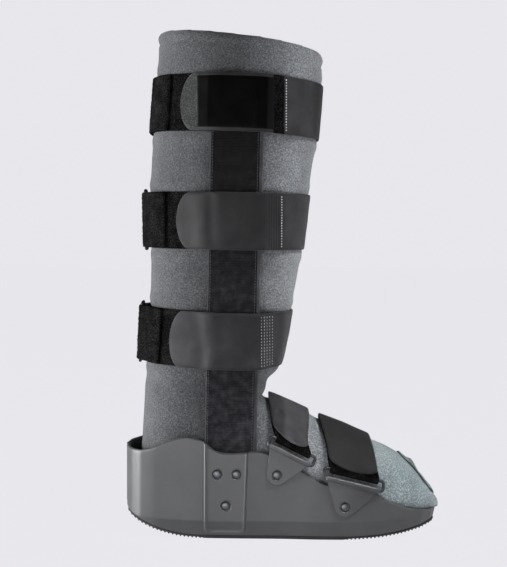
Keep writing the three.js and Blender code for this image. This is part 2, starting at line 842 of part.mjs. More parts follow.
function loopEdge(strap, across) {
  const stations = [];
  const steps = 13;
  const last = strap.ringAngle - ringTurn - foldRoom;
  for (let k = 0; k <= steps; k += 1) {
    const angle = loopStart + ((last - loopStart) * k) / steps;
    stations.push(strapPoint(strap, angle, across, layerOne));
  }
  stations.push(...foldPoints(strap, 1, across));
  const returned = strap.tabAngle + 14;
  const back = 5;
  for (let k = 0; k <= back; k += 1) {
    const angle = last - 4 + ((returned - last + 4) * k) / back;
    stations.push(strapPoint(strap, angle, across, layerOne + layerStep));
  }
  return stations;
}

function makeCalfLoop(strap) {
  return tape(tapeLines(loopEdge, strap), tapeThickness);
}

// Share of the full width near a rounded tab end: 0 at the tip, 1 past the rounding.
function tabWidth(distance, length) {
  const share = THREE.MathUtils.clamp(distance / length, 0.015, 1);
  return Math.sqrt(1 - (1 - share) ** 2);
}

function mainEdge(strap, across) {
  const stations = [];
  const overLoop = layerOne + 2 * layerStep;
  for (let k = 0; k <= 6; k += 1) {
    const turned = tabTurn * (k / 6) ** 1.6;
    const width = tabWidth(turned, tabTurn);
    stations.push(strapPoint(strap, strap.tabAngle - turned, across * width, overLoop));
  }
  const first = strap.tabAngle - tabTurn - 7;
  const last = strap.ringAngle - 360 + ringTurn + foldRoom;
  const steps = 40;
  for (let k = 0; k <= steps; k += 1) {
    const angle = first + ((last - first) * k) / steps;
    const settle = THREE.MathUtils.smoothstep(angle, settleFrom, settleTo);
    stations.push(strapPoint(strap, angle, across, layerOne + 2 * layerStep * settle));
  }
  stations.push(...foldPoints(strap, -1, across));
  for (let k = 0; k <= 3; k += 1) {
    stations.push(strapPoint(strap, last + 4 + 5 * k, across, layerOne + layerStep));
  }
  return stations;
}

function makeCalfStrap(strap) {
  return tape(tapeLines(mainEdge, strap), tapeThickness);
}

function makeCalfRing(strap) {
  const { middle, up, across } = ringFrame(strap);
  const halfUp = up.clone().multiplyScalar(tapeWidth / 2 + ringReach);
  return wire(roundedLoop(middle, across.multiplyScalar(ringSpan / 2), halfUp, ringCorner), ringWire);
}

// Foot straps, rings and plates

// Distance out from the middle to the plate's rolled edge at a place along X.
const rollOut = (x) => shellHalfWidth(x) + fitGap + rollRadius;

function rollEnd(strap, end) {
  const { x, z } = placed(strap[end]);
  return new THREE.Vector3(x, -rollOut(x), z);
}

function barLine(strap) {
  const back = rollEnd(strap, "rollBack");
  const front = rollEnd(strap, "rollFront");
  const along = front.clone().sub(back).normalize();
  const up = new THREE.Vector3(0, 0.5, 1);
  up.addScaledVector(along, -up.dot(along)).normalize();
  return { back, front, along, up };
}

// The foot ring's upper bar at the strap's back or front edge.
function footBar(strap, across) {
  const { back, front, up, along } = barLine(strap);
  const inset = footRingWire + barInset;
  const place = back.clone().lerp(front, (1 + across) / 2);
  return place.addScaledVector(up, footRingSpan).addScaledVector(along, -across * inset);
}

const footFold = footRingWire + tapeGap + tapeThickness / 2;

function barOut(strap) {
  const { along, up } = barLine(strap);
  const out = along.clone().cross(up).normalize();
  return out.y > 0 ? out.negate() : out;
}

// The tape's turn round the upper bar, from its inner side under the bar to its outer side.
function footTurn(strap, across) {
  const { up } = barLine(strap);
  const out = barOut(strap);
  const centre = footBar(strap, across);
  const turns = 6;
  const list = [];
  for (let k = 0; k <= turns; k += 1) {
    const a = radians(360 - foldTurn + (foldTurn * k) / turns);
    list.push(
      centre
        .clone()
        .addScaledVector(out, footFold * Math.cos(a))
        .addScaledVector(up, footFold * Math.sin(a)),
    );
  }
  return list;
}

// Edge of a foot strap along X: at the ring near angle 0, on the instep past angle 70.
function strapX(strap, across, angle) {
  const low = alongX(across < 0 ? strap.rollBack.along : strap.rollFront.along) - across * rollInset;
  const high = alongX(across < 0 ? strap.topBack : strap.topFront);
  return low + (high - low) * THREE.MathUtils.smoothstep(angle, 20, 75);
}

function overFoot(strap, across, angle, lift) {
  const nearAngle = angle > 90 ? 180 - angle : angle;
  const share = (1 + across) / 2;
  const x = THREE.MathUtils.lerp(strapX(strap, -1, nearAngle), strapX(strap, 1, nearAngle), share);
  return footPoint(angle, x, lift);
}

// The angle where a strap leaves the foot for its ring.
function leaveAngle(strap, across) {
  const target = footBar(strap, across).z + leaveRise;
  let angle = 70;
  while (angle > 4 && overFoot(strap, across, angle, 0).z > target) angle -= 1;
  return angle;
}

// A layer of tape between the ring's outer side (share 0) and the place where it meets the foot.
function outerRun(strap, across, layer, share) {
  const low = footBar(strap, across).addScaledVector(barOut(strap), footFold + (layer - 1) * layerStep);
  const high = overFoot(strap, across, leaveAngle(strap, across) + 5, layerOne + 1.1 + layer * layerStep);
  const bow = Math.sin(Math.PI * share) * tapeBow;
  return low.lerp(high, share).addScaledVector(barOut(strap), bow);
}

function footLoopEdge(strap, across) {
  const stations = [];
  const leave = leaveAngle(strap, across);
  for (let k = 0; k <= 7; k += 1) {
    const angle = footLoopStart + ((leave - footLoopStart) * k) / 7;
    stations.push(overFoot(strap, across, angle, layerOne + fitGap));
  }
  stations.push(...footTurn(strap, across));
  for (const share of [0.25, 0.5, 0.75]) stations.push(outerRun(strap, across, 1, share));
  return stations;
}

function makeFootLoop(strap) {
  return tape(tapeLines(footLoopEdge, strap), tapeThickness);
}

function footMainEdge(strap, across) {
  const stations = [];
  const tabLength = 0.9;
  for (let k = 0; k <= 6; k += 1) {
    const share = tabLength * (k / 6) ** 1.6;
    const width = tabWidth(share, tabLength);
    stations.push(outerRun(strap, across * width, 2.3, 0.08 + share * 0.9));
  }
  const start = leaveAngle(strap, across) + footTabTurn;
  const end = 180 - leaveAngle(strap, across);
  for (let k = 0; k <= 14; k += 1) {
    const angle = start + ((end - start) * k) / 14;
    const settle = 1 - THREE.MathUtils.smoothstep(angle, 88, 118);
    stations.push(overFoot(strap, across, angle, layerOne + fitGap + 2 * layerStep * settle));
  }
  const farSide = footTurn(strap, across);
  for (const share of [0.3, 0.6, 0.9]) farSide.push(outerRun(strap, across, 1, share));
  stations.push(...farSide.map((p) => p.setY(-p.y)));
  return stations;
}

function makeFootStrap(strap) {
  return tape(tapeLines(footMainEdge, strap), tapeThickness);
}

function makeFootRing(strap) {
  const { back, front, along, up } = barLine(strap);
  const middle = back.clone().add(front).multiplyScalar(0.5).addScaledVector(up, footRingSpan / 2);
  const halfAlong = along.clone().multiplyScalar(back.distanceTo(front) / 2 + ringReach);
  const halfUp = up.clone().multiplyScalar(footRingSpan / 2);
  return wire(roundedLoop(middle, halfAlong, halfUp, footRingCorner), footRingWire);
}

// The plate runs from its rolled edge to a round end about its rivet.
function plateOutline(strap) {
  const [rollBack, rollFront, rivet] = [strap.rollBack, strap.rollFront, strap.rivet].map(placed);
  const points = [rollBack, rollFront].map((p) => ({ x: p.x, y: p.z }));
  for (let k = 0; k < 20; k += 1) {
    const a = (2 * Math.PI * k) / 20;
    points.push({ x: rivet.x + plateEnd * Math.cos(a), y: rivet.z + plateEnd * Math.sin(a) });
  }
  return tightOutline(points).map((p) => ({ x: p.x, z: p.y }));
}

function makePlate(strap) {
  const band = shellOuter(fitGap + plateThickness).subtract(shellOuter(fitGap));
  let plate = band.intersect(sidePrism(plateOutline(strap), -shellWidth, 0));
  const { back, front, along } = barLine(strap);
  const length = back.distanceTo(front);
  const roll = new THREE.CylinderGeometry(rollRadius, rollRadius, length, 10, 1);
  roll.applyQuaternion(new THREE.Quaternion().setFromUnitVectors(new THREE.Vector3(0, 1, 0), along));
  const middle = back.clone().add(front).multiplyScalar(0.5);
  roll.translate(middle.x, middle.y, middle.z);
  const bore = new THREE.CylinderGeometry(footRingWire + fitGap, footRingWire + fitGap, length + 2, 10, 1);
  bore.applyQuaternion(new THREE.Quaternion().setFromUnitVectors(new THREE.Vector3(0, 1, 0), along));
  bore.translate(middle.x, middle.y, middle.z);
  plate = plate.add(solidFrom(roll)).subtract(solidFrom(bore));
  const { x, z } = placed(strap.rivet);
  const face = shellHalfWidth(x) + fitGap + plateThickness;
  return geometryFrom(plate.subtract(rivetSeat(x, z, face, -1)));
}

function makeRivet(x, z, face) {
  const height = rivetHeadHeight - 0.1;
  const radius = rivetHead / 2;
  const profile = [
    new THREE.Vector2(0, 0),
    new THREE.Vector2(radius, 0),
    new THREE.Vector2(radius, height * 0.45),
    new THREE.Vector2(radius * 0.7, height * 0.88),
    new THREE.Vector2(0, height),
  ];
  const head = new THREE.LatheGeometry(profile, 12);
  head.rotateX(Math.PI);
  head.translate(x, -(face - rivetDishDepth + fitGap), z);
  return head;
}

// Assembly

const colours = {
  liner: { color: 0x6b6d6f, roughness: 0.95, metalness: 0 },
  toe: { color: 0x7f8a8a, roughness: 0.95, metalness: 0 },
  shell: { color: 0x5a5b5c, roughness: 0.5, metalness: 0 },
  tread: { color: 0x2e2f30, roughness: 0.9, metalness: 0 },
  upright: { color: 0x1b1b1d, roughness: 0.9, metalness: 0 },
  tape: { color: 0x4a4b4d, roughness: 0.8, metalness: 0 },
  loop: { color: 0x161616, roughness: 1, metalness: 0 },
  ring: { color: 0x8a8c8e, roughness: 0.35, metalness: 1 },
  plate: { color: 0x5c5d5f, roughness: 0.45, metalness: 0.2 },
  rivet: { color: 0x4c4e50, roughness: 0.4, metalness: 1 },
};

const boot = new THREE.Group();

function add(name, geometry, look) {
  const mesh = new THREE.Mesh(geometry, new THREE.MeshStandardMaterial(colours[look]));
  mesh.name = name;
  boot.add(mesh);
}

add("liner", makeLiner(), "liner");
add("toe_wrap", makeToeWrap(), "toe");
add("shell", makeShell(), "shell");
add("tread", makeTread(), "tread");
const upright = makeUpright();
add("upright_cover_near", upright, "upright");
add("upright_cover_far", mirrorY(upright), "upright");
for (const strap of calfStraps) {
  add(`calf_strap_${strap.name}`, makeCalfStrap(strap), "tape");
  add(`calf_loop_${strap.name}`, makeCalfLoop(strap), "loop");
  add(`calf_ring_${strap.name}`, makeCalfRing(strap), "ring");
}
for (const strap of footStraps) {
  add(`foot_strap_${strap.name}`, makeFootStrap(strap), "tape");
  add(`foot_loop_${strap.name}`, makeFootLoop(strap), "loop");
  const ring = makeFootRing(strap);
  add(`foot_ring_${strap.name}_near`, ring, "ring");
  add(`foot_ring_${strap.name}_far`, mirrorY(ring), "ring");
  const plate = makePlate(strap);
  add(`plate_${strap.name}_near`, plate, "plate");
  add(`plate_${strap.name}_far`, mirrorY(plate), "plate");
  const { x, z } = placed(strap.rivet);
  const rivet = makeRivet(x, z, shellHalfWidth(x) + fitGap + plateThickness);
  add(`plate_rivet_${strap.name}_near`, rivet, "rivet");
  add(`plate_rivet_${strap.name}_far`, mirrorY(rivet), "rivet");
}
panelRivets.map(placed).forEach(({ x, z }, i) => {
  const rivet = makeRivet(x, z, shellHalfWidth(x) + panelRise);
  add(`panel_rivet_near_${i + 1}`, rivet, "rivet");
  add(`panel_rivet_far_${i + 1}`, mirrorY(rivet), "rivet");
});

export default boot;
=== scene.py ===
# Medical walking boot: a padded liner in a moulded rocker base, held by tapes through wire rings.
# Lengths are millimetres until a mesh is made. +X points to the toe, +Z up, the tabs are on -Y.
import bpy
import bmesh
import math
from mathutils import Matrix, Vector, noise


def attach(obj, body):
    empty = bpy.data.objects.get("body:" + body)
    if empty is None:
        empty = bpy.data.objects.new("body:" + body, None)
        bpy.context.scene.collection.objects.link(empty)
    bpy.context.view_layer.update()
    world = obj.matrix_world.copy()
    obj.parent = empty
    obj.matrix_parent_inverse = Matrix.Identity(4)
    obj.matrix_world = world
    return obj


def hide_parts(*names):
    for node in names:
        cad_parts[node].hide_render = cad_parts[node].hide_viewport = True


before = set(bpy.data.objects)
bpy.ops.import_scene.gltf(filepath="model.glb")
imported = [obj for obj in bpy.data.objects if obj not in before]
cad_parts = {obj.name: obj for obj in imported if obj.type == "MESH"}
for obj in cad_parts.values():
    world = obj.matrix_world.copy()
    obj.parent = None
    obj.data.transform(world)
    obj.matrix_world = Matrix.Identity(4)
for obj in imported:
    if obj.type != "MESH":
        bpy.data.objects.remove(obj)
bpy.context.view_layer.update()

mm = 0.001

# Sizes shared with the part

body = {
    "linerHeight": 448, "calfDepth": 151, "calfWidth": 120, "legPadding": 9, "footPadding": 7,
    "topSlope": -0.12, "shellLength": 285, "shellWidth": 106, "heelX": -95.4, "shellWall": 3.5,
    "floor": 5.5, "bevelHeight": 17, "bevelInset": 4, "tread": 3.5, "heelRise": 14, "toeRise": 6,
    "flatHeel": -25, "flatToe": 105, "heelEase": 8, "heelCurve": 2.1, "toeCurve": 1.6,
    "footHeight": 124, "footWidth": 95, "legCorner": 2.2, "footCorner": 2.5, "panelRise": 1.6,
}
tape = {"width": 49, "thick": 1.8, "gap": 0.4, "ease": 0.5, "fold": 190, "tabTurn": 11, "tabCurve": 1.6,
        "loopFrom": 84, "underTab": 12, "settle": (30, 78), "ribbed": (77.6, 44), "end": (4, 19)}
footTape = {"rollInset": 2.4, "narrow": (20, 75), "loopFrom": 92, "lap": 0.3, "settle": (88, 118),
            "tabLength": 0.9, "tabStart": 0.08, "tabLayer": 2.3, "start": 14, "foldFrom": 170}
upright = {"width": 46, "thick": 4, "top": 398, "bottom": 28, "middle": 0.5, "lean": 8, "settle": 0.65,
           "seat": 0.3}

legSections = [  # up, middle, depth, width
    (0.022, -0.205, 0.52, 0.52), (0.032, -0.205, 0.61, 0.6), (0.06, -0.205, 0.665, 0.64),
    (0.135, -0.205, 0.682, 0.657), (0.205, -0.187, 0.69, 0.672), (0.265, -0.164, 0.712, 0.725),
    (0.288, -0.147, 0.735, 0.742), (0.328, -0.101, 0.803, 0.767), (0.4, -0.07, 0.84, 0.81),
    (0.473, -0.049, 0.87, 0.85), (0.556, -0.022, 0.913, 0.892), (0.7, 0.0, 0.968, 0.95),
    (0.783, 0.03, 0.993, 0.975), (0.95, 0.064, 1.0, 1.0), (1.06, 0.066, 1.0, 1.0),
]
footSections = [  # along, bottom, top, width
    (0.15, 0.078, 0.4, 0.7), (0.23, 0.077, 0.8, 0.82), (0.335, 0.077, 0.975, 0.835),
    (0.44, 0.077, 0.946, 0.86), (0.528, 0.077, 0.866, 0.905), (0.616, 0.077, 0.776, 0.955),
    (0.703, 0.077, 0.698, 1.0), (0.79, 0.08, 0.612, 0.975), (0.844, 0.085, 0.562, 0.905),
    (0.89, 0.094, 0.5, 0.8), (0.93, 0.107, 0.415, 0.655), (0.963, 0.122, 0.322, 0.475),
    (0.985, 0.122, 0.257, 0.34), (1.0, 0.122, 0.212, 0.2), (1.0085, 0.127, 0.185, 0.1),
]
shellPlan = [  # along, width
    (0.0, 0.0), (0.008, 0.27), (0.026, 0.47), (0.054, 0.635), (0.107, 0.775), (0.177, 0.86),
    (0.264, 0.915), (0.37, 0.94), (0.51, 0.962), (0.615, 1.0), (0.72, 1.0), (0.808, 0.935),
    (0.878, 0.795), (0.938, 0.585), (0.977, 0.35), (0.994, 0.17), (1.0, 0.0),
]
rimLine = [  # along, height
    (-0.01, 0.61), (0.03, 0.605), (0.075, 0.62), (0.116, 0.655), (0.155, 0.694), (0.193, 0.72),
    (0.23, 0.713), (0.26, 0.69), (0.282, 0.648), (0.305, 0.622), (0.342, 0.614), (0.45, 0.618),
    (0.56, 0.493), (0.624, 0.408), (0.797, 0.326), (0.815, 0.286), (0.89, 0.213),
    (0.968, 0.153), (1.01, 0.113),
]
calfStraps = {
    "1": {"back": 385, "front": 378.5, "tab": 125, "ring": 204, "off": 3},
    "2": {"back": 281, "front": 278.5, "tab": 123, "ring": 180, "off": 3.2},
    "3": {"back": 178, "front": 173, "tab": 125, "ring": 180, "off": 6},
}
footStraps = {
    "1": {"rollBack": (36.5, 83.8), "rollFront": (70.5, 67.4), "back": 36, "front": 72,
          "rivet": (42.4, 57.8)},
    "2": {"rollBack": (85, 56.5), "rollFront": (132, 44.5), "back": 83, "front": 128,
          "rivet": (101.6, 30.6)},
}
panelRivets = [(-10, 58), (7, 58), (-2.6, 30.5)]
ring = {"wire": 1.3, "span": 13, "reach": 2.5, "turn": 6, "leave": 9}
footRing = {"wire": 1.5, "span": 8.5, "inset": 1.2, "leave": 5, "bow": 0.8}
plate = {"thick": 2, "end": 9, "roll": 2.5}
rivet = {"dish": 9.6, "depth": 1.7, "radius": 3.844, "high": 1.4}
fit = 0.3
sides = {"near": -1, "far": 1}
toeX = body["heelX"] + body["shellLength"]


def clamp(v, low, high):
    return max(low, min(high, v))


def mix(a, b, t):
    return a + (b - a) * t


def ease(x, low, high):
    t = clamp((x - low) / (high - low), 0, 1)
    return t * t * (3 - 2 * t)


def hump(x, middle, width):
    return math.exp(-(((x - middle) / width) ** 2))


def power(v, p):
    return math.copysign(abs(v) ** p, v)


def arc(share, corner):
    return (1 - min(abs(share), 1) ** corner) ** (1 / corner)


def spread(a, b, count):
    return [a + (b - a) * k / count for k in range(count + 1)]


def circle(count):
    return [(math.cos(2 * math.pi * k / count), math.sin(2 * math.pi * k / count)) for k in range(count)]


def onSide(p, side):
    return Vector((p.x, -side * p.y, p.z))


# A smooth curve through the rows of a table, read for all its columns.
def readTable(rows, at):
    place = clamp(at, rows[0][0], rows[-1][0])
    i = 0
    while i < len(rows) - 2 and place > rows[i + 1][0]:
        i += 1
    near = [rows[clamp(k, 0, len(rows) - 1)][1:] for k in (i - 1, i, i + 1, i + 2)]
    t = (place - rows[i][0]) / (rows[i + 1][0] - rows[i][0])
    return [0.5 * (2 * b + (c - a) * t + (2 * a - 5 * b + 4 * c - d) * t * t
                   + (3 * b - a - 3 * c + d) * t ** 3) for a, b, c, d in zip(*near)]


def legSize(z):
    middle, depth, width = readTable(legSections, z / body["linerHeight"])
    return middle * body["calfDepth"], depth * body["calfDepth"] / 2, width * body["calfWidth"] / 2


def legPoint(angle, z, grow=0.0):
    middle, depth, width = legSize(z)
    a, p = math.radians(angle), 2 / body["legCorner"]
    return Vector((middle + (depth + grow) * power(math.cos(a), p),
                   -(width + grow) * power(math.sin(a), p), z))


def alongShell(x):
    return (x - body["heelX"]) / body["shellLength"]


def shellX(share):
    return body["heelX"] + share * body["shellLength"]


def footSize(x):
    low, high, width = readTable(footSections, alongShell(x))
    return low * body["footHeight"], high * body["footHeight"], width * body["footWidth"] / 2


def footPoint(angle, x, grow=0.0):
    low, high, width = footSize(x)
    a, p = math.radians(angle), 2 / body["footCorner"]
    return Vector((x, -(width + grow) * power(math.cos(a), p),
                   (low + high) / 2 + ((high - low) / 2 + grow) * power(math.sin(a), p)))


# How far the sole is off the floor.
def rocker(x):
    if x < body["flatHeel"]:
        share = (body["flatHeel"] - x) / (body["flatHeel"] - body["heelX"] - body["heelEase"])
        return body["heelRise"] * share ** body["heelCurve"]
    if x > body["flatToe"]:
        return body["toeRise"] * ((x - body["flatToe"]) / (toeX - body["flatToe"])) ** body["toeCurve"]
    return 0.0


def bevelGrow(z):
    return -body["bevelInset"] * clamp(1 - z / body["bevelHeight"], 0, 1)


def rimHeight(x):
    return readTable(rimLine, alongShell(x))[0] * body["footHeight"]


def shellHalf(x):
    return readTable(shellPlan, alongShell(x))[0] * body["shellWidth"] / 2


def linerSide(x, z):
    middle, depth, width = legSize(z)
    low, high, half = footSize(x)
    return max(width * arc((x - middle) / depth, body["legCorner"]),
               half * arc((2 * z - high - low) / (high - low), body["footCorner"]))


seats = {}


def uprightMiddle(z):
    tall = upright["top"] - upright["bottom"]
    return upright["middle"] + upright["lean"] * (z - upright["bottom"]) / tall


# The middle of the upright cover at a height, and the liner's widest place under it.
def uprightSeat(z):
    if z not in seats:
        middle = uprightMiddle(z)
        half = upright["width"] / 2
        seats[z] = middle, max(linerSide(middle + s * half, z) for s in (-1, -0.5, 0, 0.5, 1))
    return seats[z]


def uprightWall(x, z):
    return mix(linerSide(x, z), uprightSeat(z)[1], upright["settle"]) + fit + upright["seat"]


def uprightPoint(z, share, lift):
    x = uprightSeat(z)[0] + share * upright["width"] / 2
    return Vector((x, -(uprightWall(x, z) + lift), z))


# The line of a tape pulled tight round a set of points.
def tightOutline(points):
    points = sorted(points, key=lambda p: (p[0], p[1]))

    def half(chain):
        out = []
        for p in chain:
            while len(out) > 1 and ((out[-1][0] - out[-2][0]) * (p[1] - out[-2][1])
                                    - (out[-1][1] - out[-2][1]) * (p[0] - out[-2][0])) <= 0:
                out.pop()
            out.append(p)
        return out[:-1]
    return half(points) + half(points[::-1])


outlines = {}


def strapOutline(z):
    key = round(z, 1)
    if key not in outlines:
        points = [tuple(legPoint(a * 3, key))[:2] for a in range(120)]
        for share in (-0.97, -0.667, 0, 0.667, 0.97):
            p = uprightPoint(key, share, upright["thick"] - (1.1 if abs(share) > 0.9 else 0))
            points += [(p.x, p.y), (p.x, -p.y)]
        loop = [Vector(p) for p in tightOutline(points)]
        steps = [loop[(i + 1) % len(loop)] - loop[i - 1] for i in range(len(loop))]
        outlines[key] = loop, [Vector((d.y, -d.x)).normalized() for d in steps]
    return outlines[key]


# A place on a calf strap: an angle round the leg from the shin, and -1 to 1 across the tape.
def strapPoint(strap, angle, across, lift):
    share = (math.cos(math.radians(angle)) + 1) / 2
    z = mix(strap["back"], strap["front"], share) + across * tape["width"] / 2
    centre = ((legPoint(0, z) + legPoint(180, z)) / 2).to_2d()
    ray = legPoint(angle, z).to_2d() - centre
    loop, normals = strapOutline(z)
    for i in range(len(loop)):
        nxt = (i + 1) % len(loop)
        start = loop[i] - centre
        edge = loop[nxt] - loop[i]
        det = ray.x * edge.y - ray.y * edge.x
        if abs(det) < 1e-9:
            continue
        scale = (start.x * edge.y - start.y * edge.x) / det
        place = (start.x * ray.y - start.y * ray.x) / det
        if scale > 0 and -1e-6 <= place <= 1 + 1e-6:
            normal = normals[i].lerp(normals[nxt], place).normalized()
            flat = loop[i] + edge * place + normal * (lift + tape["ease"])
            return Vector((flat.x, flat.y, z))
    raise ValueError("no strap point")


layerStep = tape["thick"] + tape["gap"]
layerOne = tape["gap"] + tape["thick"] / 2
foldRadius = ring["wire"] + layerOne
footFold = footRing["wire"] + layerOne


def ringFrame(strap):
    lift = strap["off"] + layerOne
    near = strapPoint(strap, strap["ring"] - ring["turn"], 0, lift)
    far = strapPoint(strap, strap["ring"] + ring["turn"], 0, lift)
    sideways = near - far
    sideways.z = 0
    sideways.normalize()
    up = (strapPoint(strap, strap["ring"], 1, lift) - strapPoint(strap, strap["ring"], -1, lift)).normalized()
    inward = sideways.cross(up).normalized()
    middle = (near + far) / 2
    return middle, up, sideways, inward if inward.dot(middle) < 0 else -inward


def foldPoints(strap, sign, across, count=12):
    middle, up, sideways, inward = ringFrame(strap)
    centre = middle + sideways * (sign * ring["span"] / 2) + up * (across * tape["width"] / 2)
    return [centre + inward * (foldRadius * math.cos(a)) - sideways * (sign * foldRadius * math.sin(a))
            for a in spread(0, math.radians(tape["fold"]), count)]


# The rolled edge that holds a foot ring: its ends, then along it, up the strap and outward.
def barLine(strap):
    back, front = (Vector((x, -(shellHalf(x) + fit + plate["roll"]), z))
                   for x, z in (strap["rollBack"], strap["rollFront"]))
    along = (front - back).normalized()
    up = Vector((0, 0.5, 1))
    up = (up - along * up.dot(along)).normalized()
    out = along.cross(up).normalized()
    return back, front, along, up, out if out.y < 0 else -out


def footBar(strap, across):
    back, front, along, up = barLine(strap)[:4]
    inset = footRing["wire"] + footRing["inset"]
    return back.lerp(front, (1 + across) / 2) + up * footRing["span"] - along * (across * inset)


def footTurn(strap, across, count=12):
    up, out = barLine(strap)[3:]
    centre = footBar(strap, across)
    return [centre + out * (footFold * math.cos(a)) + up * (footFold * math.sin(a))
            for a in (math.radians(footTape["foldFrom"] + turn) for turn in spread(0, tape["fold"], count))]


def overFoot(strap, across, angle, lift):
    share = ease(180 - angle if angle > 90 else angle, *footTape["narrow"])
    back = mix(strap["rollBack"][0] + footTape["rollInset"], strap["back"], share)
    front = mix(strap["rollFront"][0] - footTape["rollInset"], strap["front"], share)
    return footPoint(angle, mix(back, front, (1 + across) / 2), lift)


# The angle at which the tape leaves the foot toward its ring.
def leaveAngle(strap, across):
    target = footBar(strap, across).z + footRing["leave"]
    angle = 70
    while angle > 4 and overFoot(strap, across, angle, 0).z > target:
        angle -= 1
    return angle


def outerRun(strap, across, layer, share):
    out = barLine(strap)[4]
    low = footBar(strap, across) + out * (footFold + (layer - 1) * layerStep)
    high = overFoot(strap, across, leaveAngle(strap, across) + 5, layerOne + 1.1 + layer * layerStep)
    return low.lerp(high, share) + out * (math.sin(math.pi * share) * footRing["bow"])


# Paths of the tapes, for any place across them from -1 to 1

def mainLift(angle):
    return layerOne + 2 * layerStep * ease(angle, *tape["settle"])


# Rows of a rounded tab: how far in from its tip, and how wide there.
def tabRows(length, count=12):
    shares = [(k / count) ** tape["tabCurve"] for k in range(count + 1)]
    return [(length * s, math.sqrt(1 - (1 - clamp(s, 0.012, 1)) ** 2)) for s in shares]


def calfLoopPath(strap, across):
    last = strap["ring"] - ring["turn"] - ring["leave"]
    path = [strapPoint(strap, a, across, layerOne) for a in spread(tape["loopFrom"], last, 26)]
    path += foldPoints(strap, 1, across)
    return path + [strapPoint(strap, a, across, layerOne + layerStep)
                   for a in spread(last - tape["end"][0], strap["tab"] + tape["underTab"], 10)]


def calfMainPath(strap, across):
    path = [strapPoint(strap, strap["tab"] - turned, across * width, layerOne + 2 * layerStep)
            for turned, width in tabRows(tape["tabTurn"])]
    last = strap["ring"] - 360 + ring["turn"] + ring["leave"]
    ribFrom, ribTo = tape["ribbed"]  # close steps where the ribs are
    turns = spread(strap["tab"] - tape["tabTurn"] - 2, tape["settle"][1], 30)
    turns += spread(ribFrom, ribTo, 96) + spread(ribTo - 1, last, 56)
    path += [strapPoint(strap, a, across, mainLift(a)) for a in turns]
    path += foldPoints(strap, -1, across)
    start, end = tape["end"]
    return path + [strapPoint(strap, a, across, layerOne + layerStep)
                   for a in spread(last + start, last + end, 5)]


def footLoopPath(strap, across):
    turns = spread(footTape["loopFrom"], leaveAngle(strap, across), 18)
    path = [overFoot(strap, across, a, layerOne + footTape["lap"]) for a in turns]
    path += footTurn(strap, across)
    return path + [outerRun(strap, across, 1, s) for s in spread(0.15, 0.75, 5)]


def footMainPath(strap, across):
    path = [outerRun(strap, across * width, footTape["tabLayer"], footTape["tabStart"] + share * 0.9)
            for share, width in tabRows(footTape["tabLength"])]
    leave = leaveAngle(strap, across)
    for a in spread(leave + footTape["start"], 180 - leave, 30):
        lift = layerOne + footTape["lap"] + 2 * layerStep * (1 - ease(a, *footTape["settle"]))
        path.append(overFoot(strap, across, a, lift))
    far = footTurn(strap, across) + [outerRun(strap, across, 1, s) for s in spread(0.15, 0.9, 6)]
    return path + [onSide(p, sides["far"]) for p in far]


# Making meshes

def looseObject(name, points, faces):
    mesh = bpy.data.meshes.new(name)
    mesh.from_pydata([p * mm for p in points], [], faces)
    work = bmesh.new()
    work.from_mesh(mesh)
    bmesh.ops.recalc_face_normals(work, faces=work.faces)
    work.to_mesh(mesh)
    work.free()
    made = bpy.data.objects.new(name, mesh)
    bpy.context.scene.collection.objects.link(made)
    return made


def finishPiece(piece, material, slot, solid=None, angle=None):
    piece.data.materials.clear()
    piece.data.materials.append(material)
    piece.data.polygons.foreach_set("use_smooth", [True] * len(piece.data.polygons))
    if angle:
        piece.data.set_sharp_from_angle(angle=math.radians(angle))
    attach(piece, "root")
    if solid:
        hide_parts(solid)
        piece.name = solid + "_skin"
    return piece


def meshPiece(name, points, faces, material, slot, solid=None, angle=None):
    return finishPiece(looseObject(name, points, faces), material, slot, solid, angle)


def changeMesh(piece, kind, **settings):
    step = piece.modifiers.new("step", kind)
    for key, value in settings.items():
        setattr(step, key, value)
    old = piece.data
    made = bpy.data.meshes.new_from_object(piece.evaluated_get(bpy.context.evaluated_depsgraph_get()))
    piece.modifiers.clear()
    piece.data = made
    bpy.data.meshes.remove(old)


def combine(base, other, operation):
    changeMesh(base, "BOOLEAN", operation=operation, solver="EXACT", object=other)
    bpy.data.objects.remove(other)


# A skin over rings of points: capped at both ends, or closed into a hoop.
def loftFaces(rings, closed=False):
    count, total = len(rings[0]), len(rings) * len(rings[0])
    faces = []
    for r in range(len(rings) - (0 if closed else 1)):
        for i in range(count):
            a, b = r * count + i, r * count + (i + 1) % count
            faces.append((a, b, (b + count) % total, (a + count) % total))
    if not closed:
        faces += [tuple(range(count))[::-1], tuple(range(total - count, total))]
    return [p for r in rings for p in r], faces


# A sheet with two faces and its edges.
def slab(rows, columns, at):
    points = [at(i, j, face) for i in range(rows + 1) for j in range(columns + 1) for face in (0, 1)]
    faces = []

    def quad(*corners):
        faces.append(tuple((i * (columns + 1) + j) * 2 + face for i, j, face in corners))
    for i in range(rows):
        for j in range(columns):
            quad((i, j, 1), (i + 1, j, 1), (i + 1, j + 1, 1), (i, j + 1, 1))
            quad((i, j, 0), (i, j + 1, 0), (i + 1, j + 1, 0), (i + 1, j, 0))
        quad((i, 0, 0), (i + 1, 0, 0), (i + 1, 0, 1), (i, 0, 1))
        quad((i, columns, 1), (i + 1, columns, 1), (i + 1, columns, 0), (i, columns, 0))
    for j in range(columns):
        quad((0, j, 1), (0, j + 1, 1), (0, j + 1, 0), (0, j, 0))
        quad((rows, j, 0), (rows, j + 1, 0), (rows, j + 1, 1), (rows, j, 1))
    return points, faces


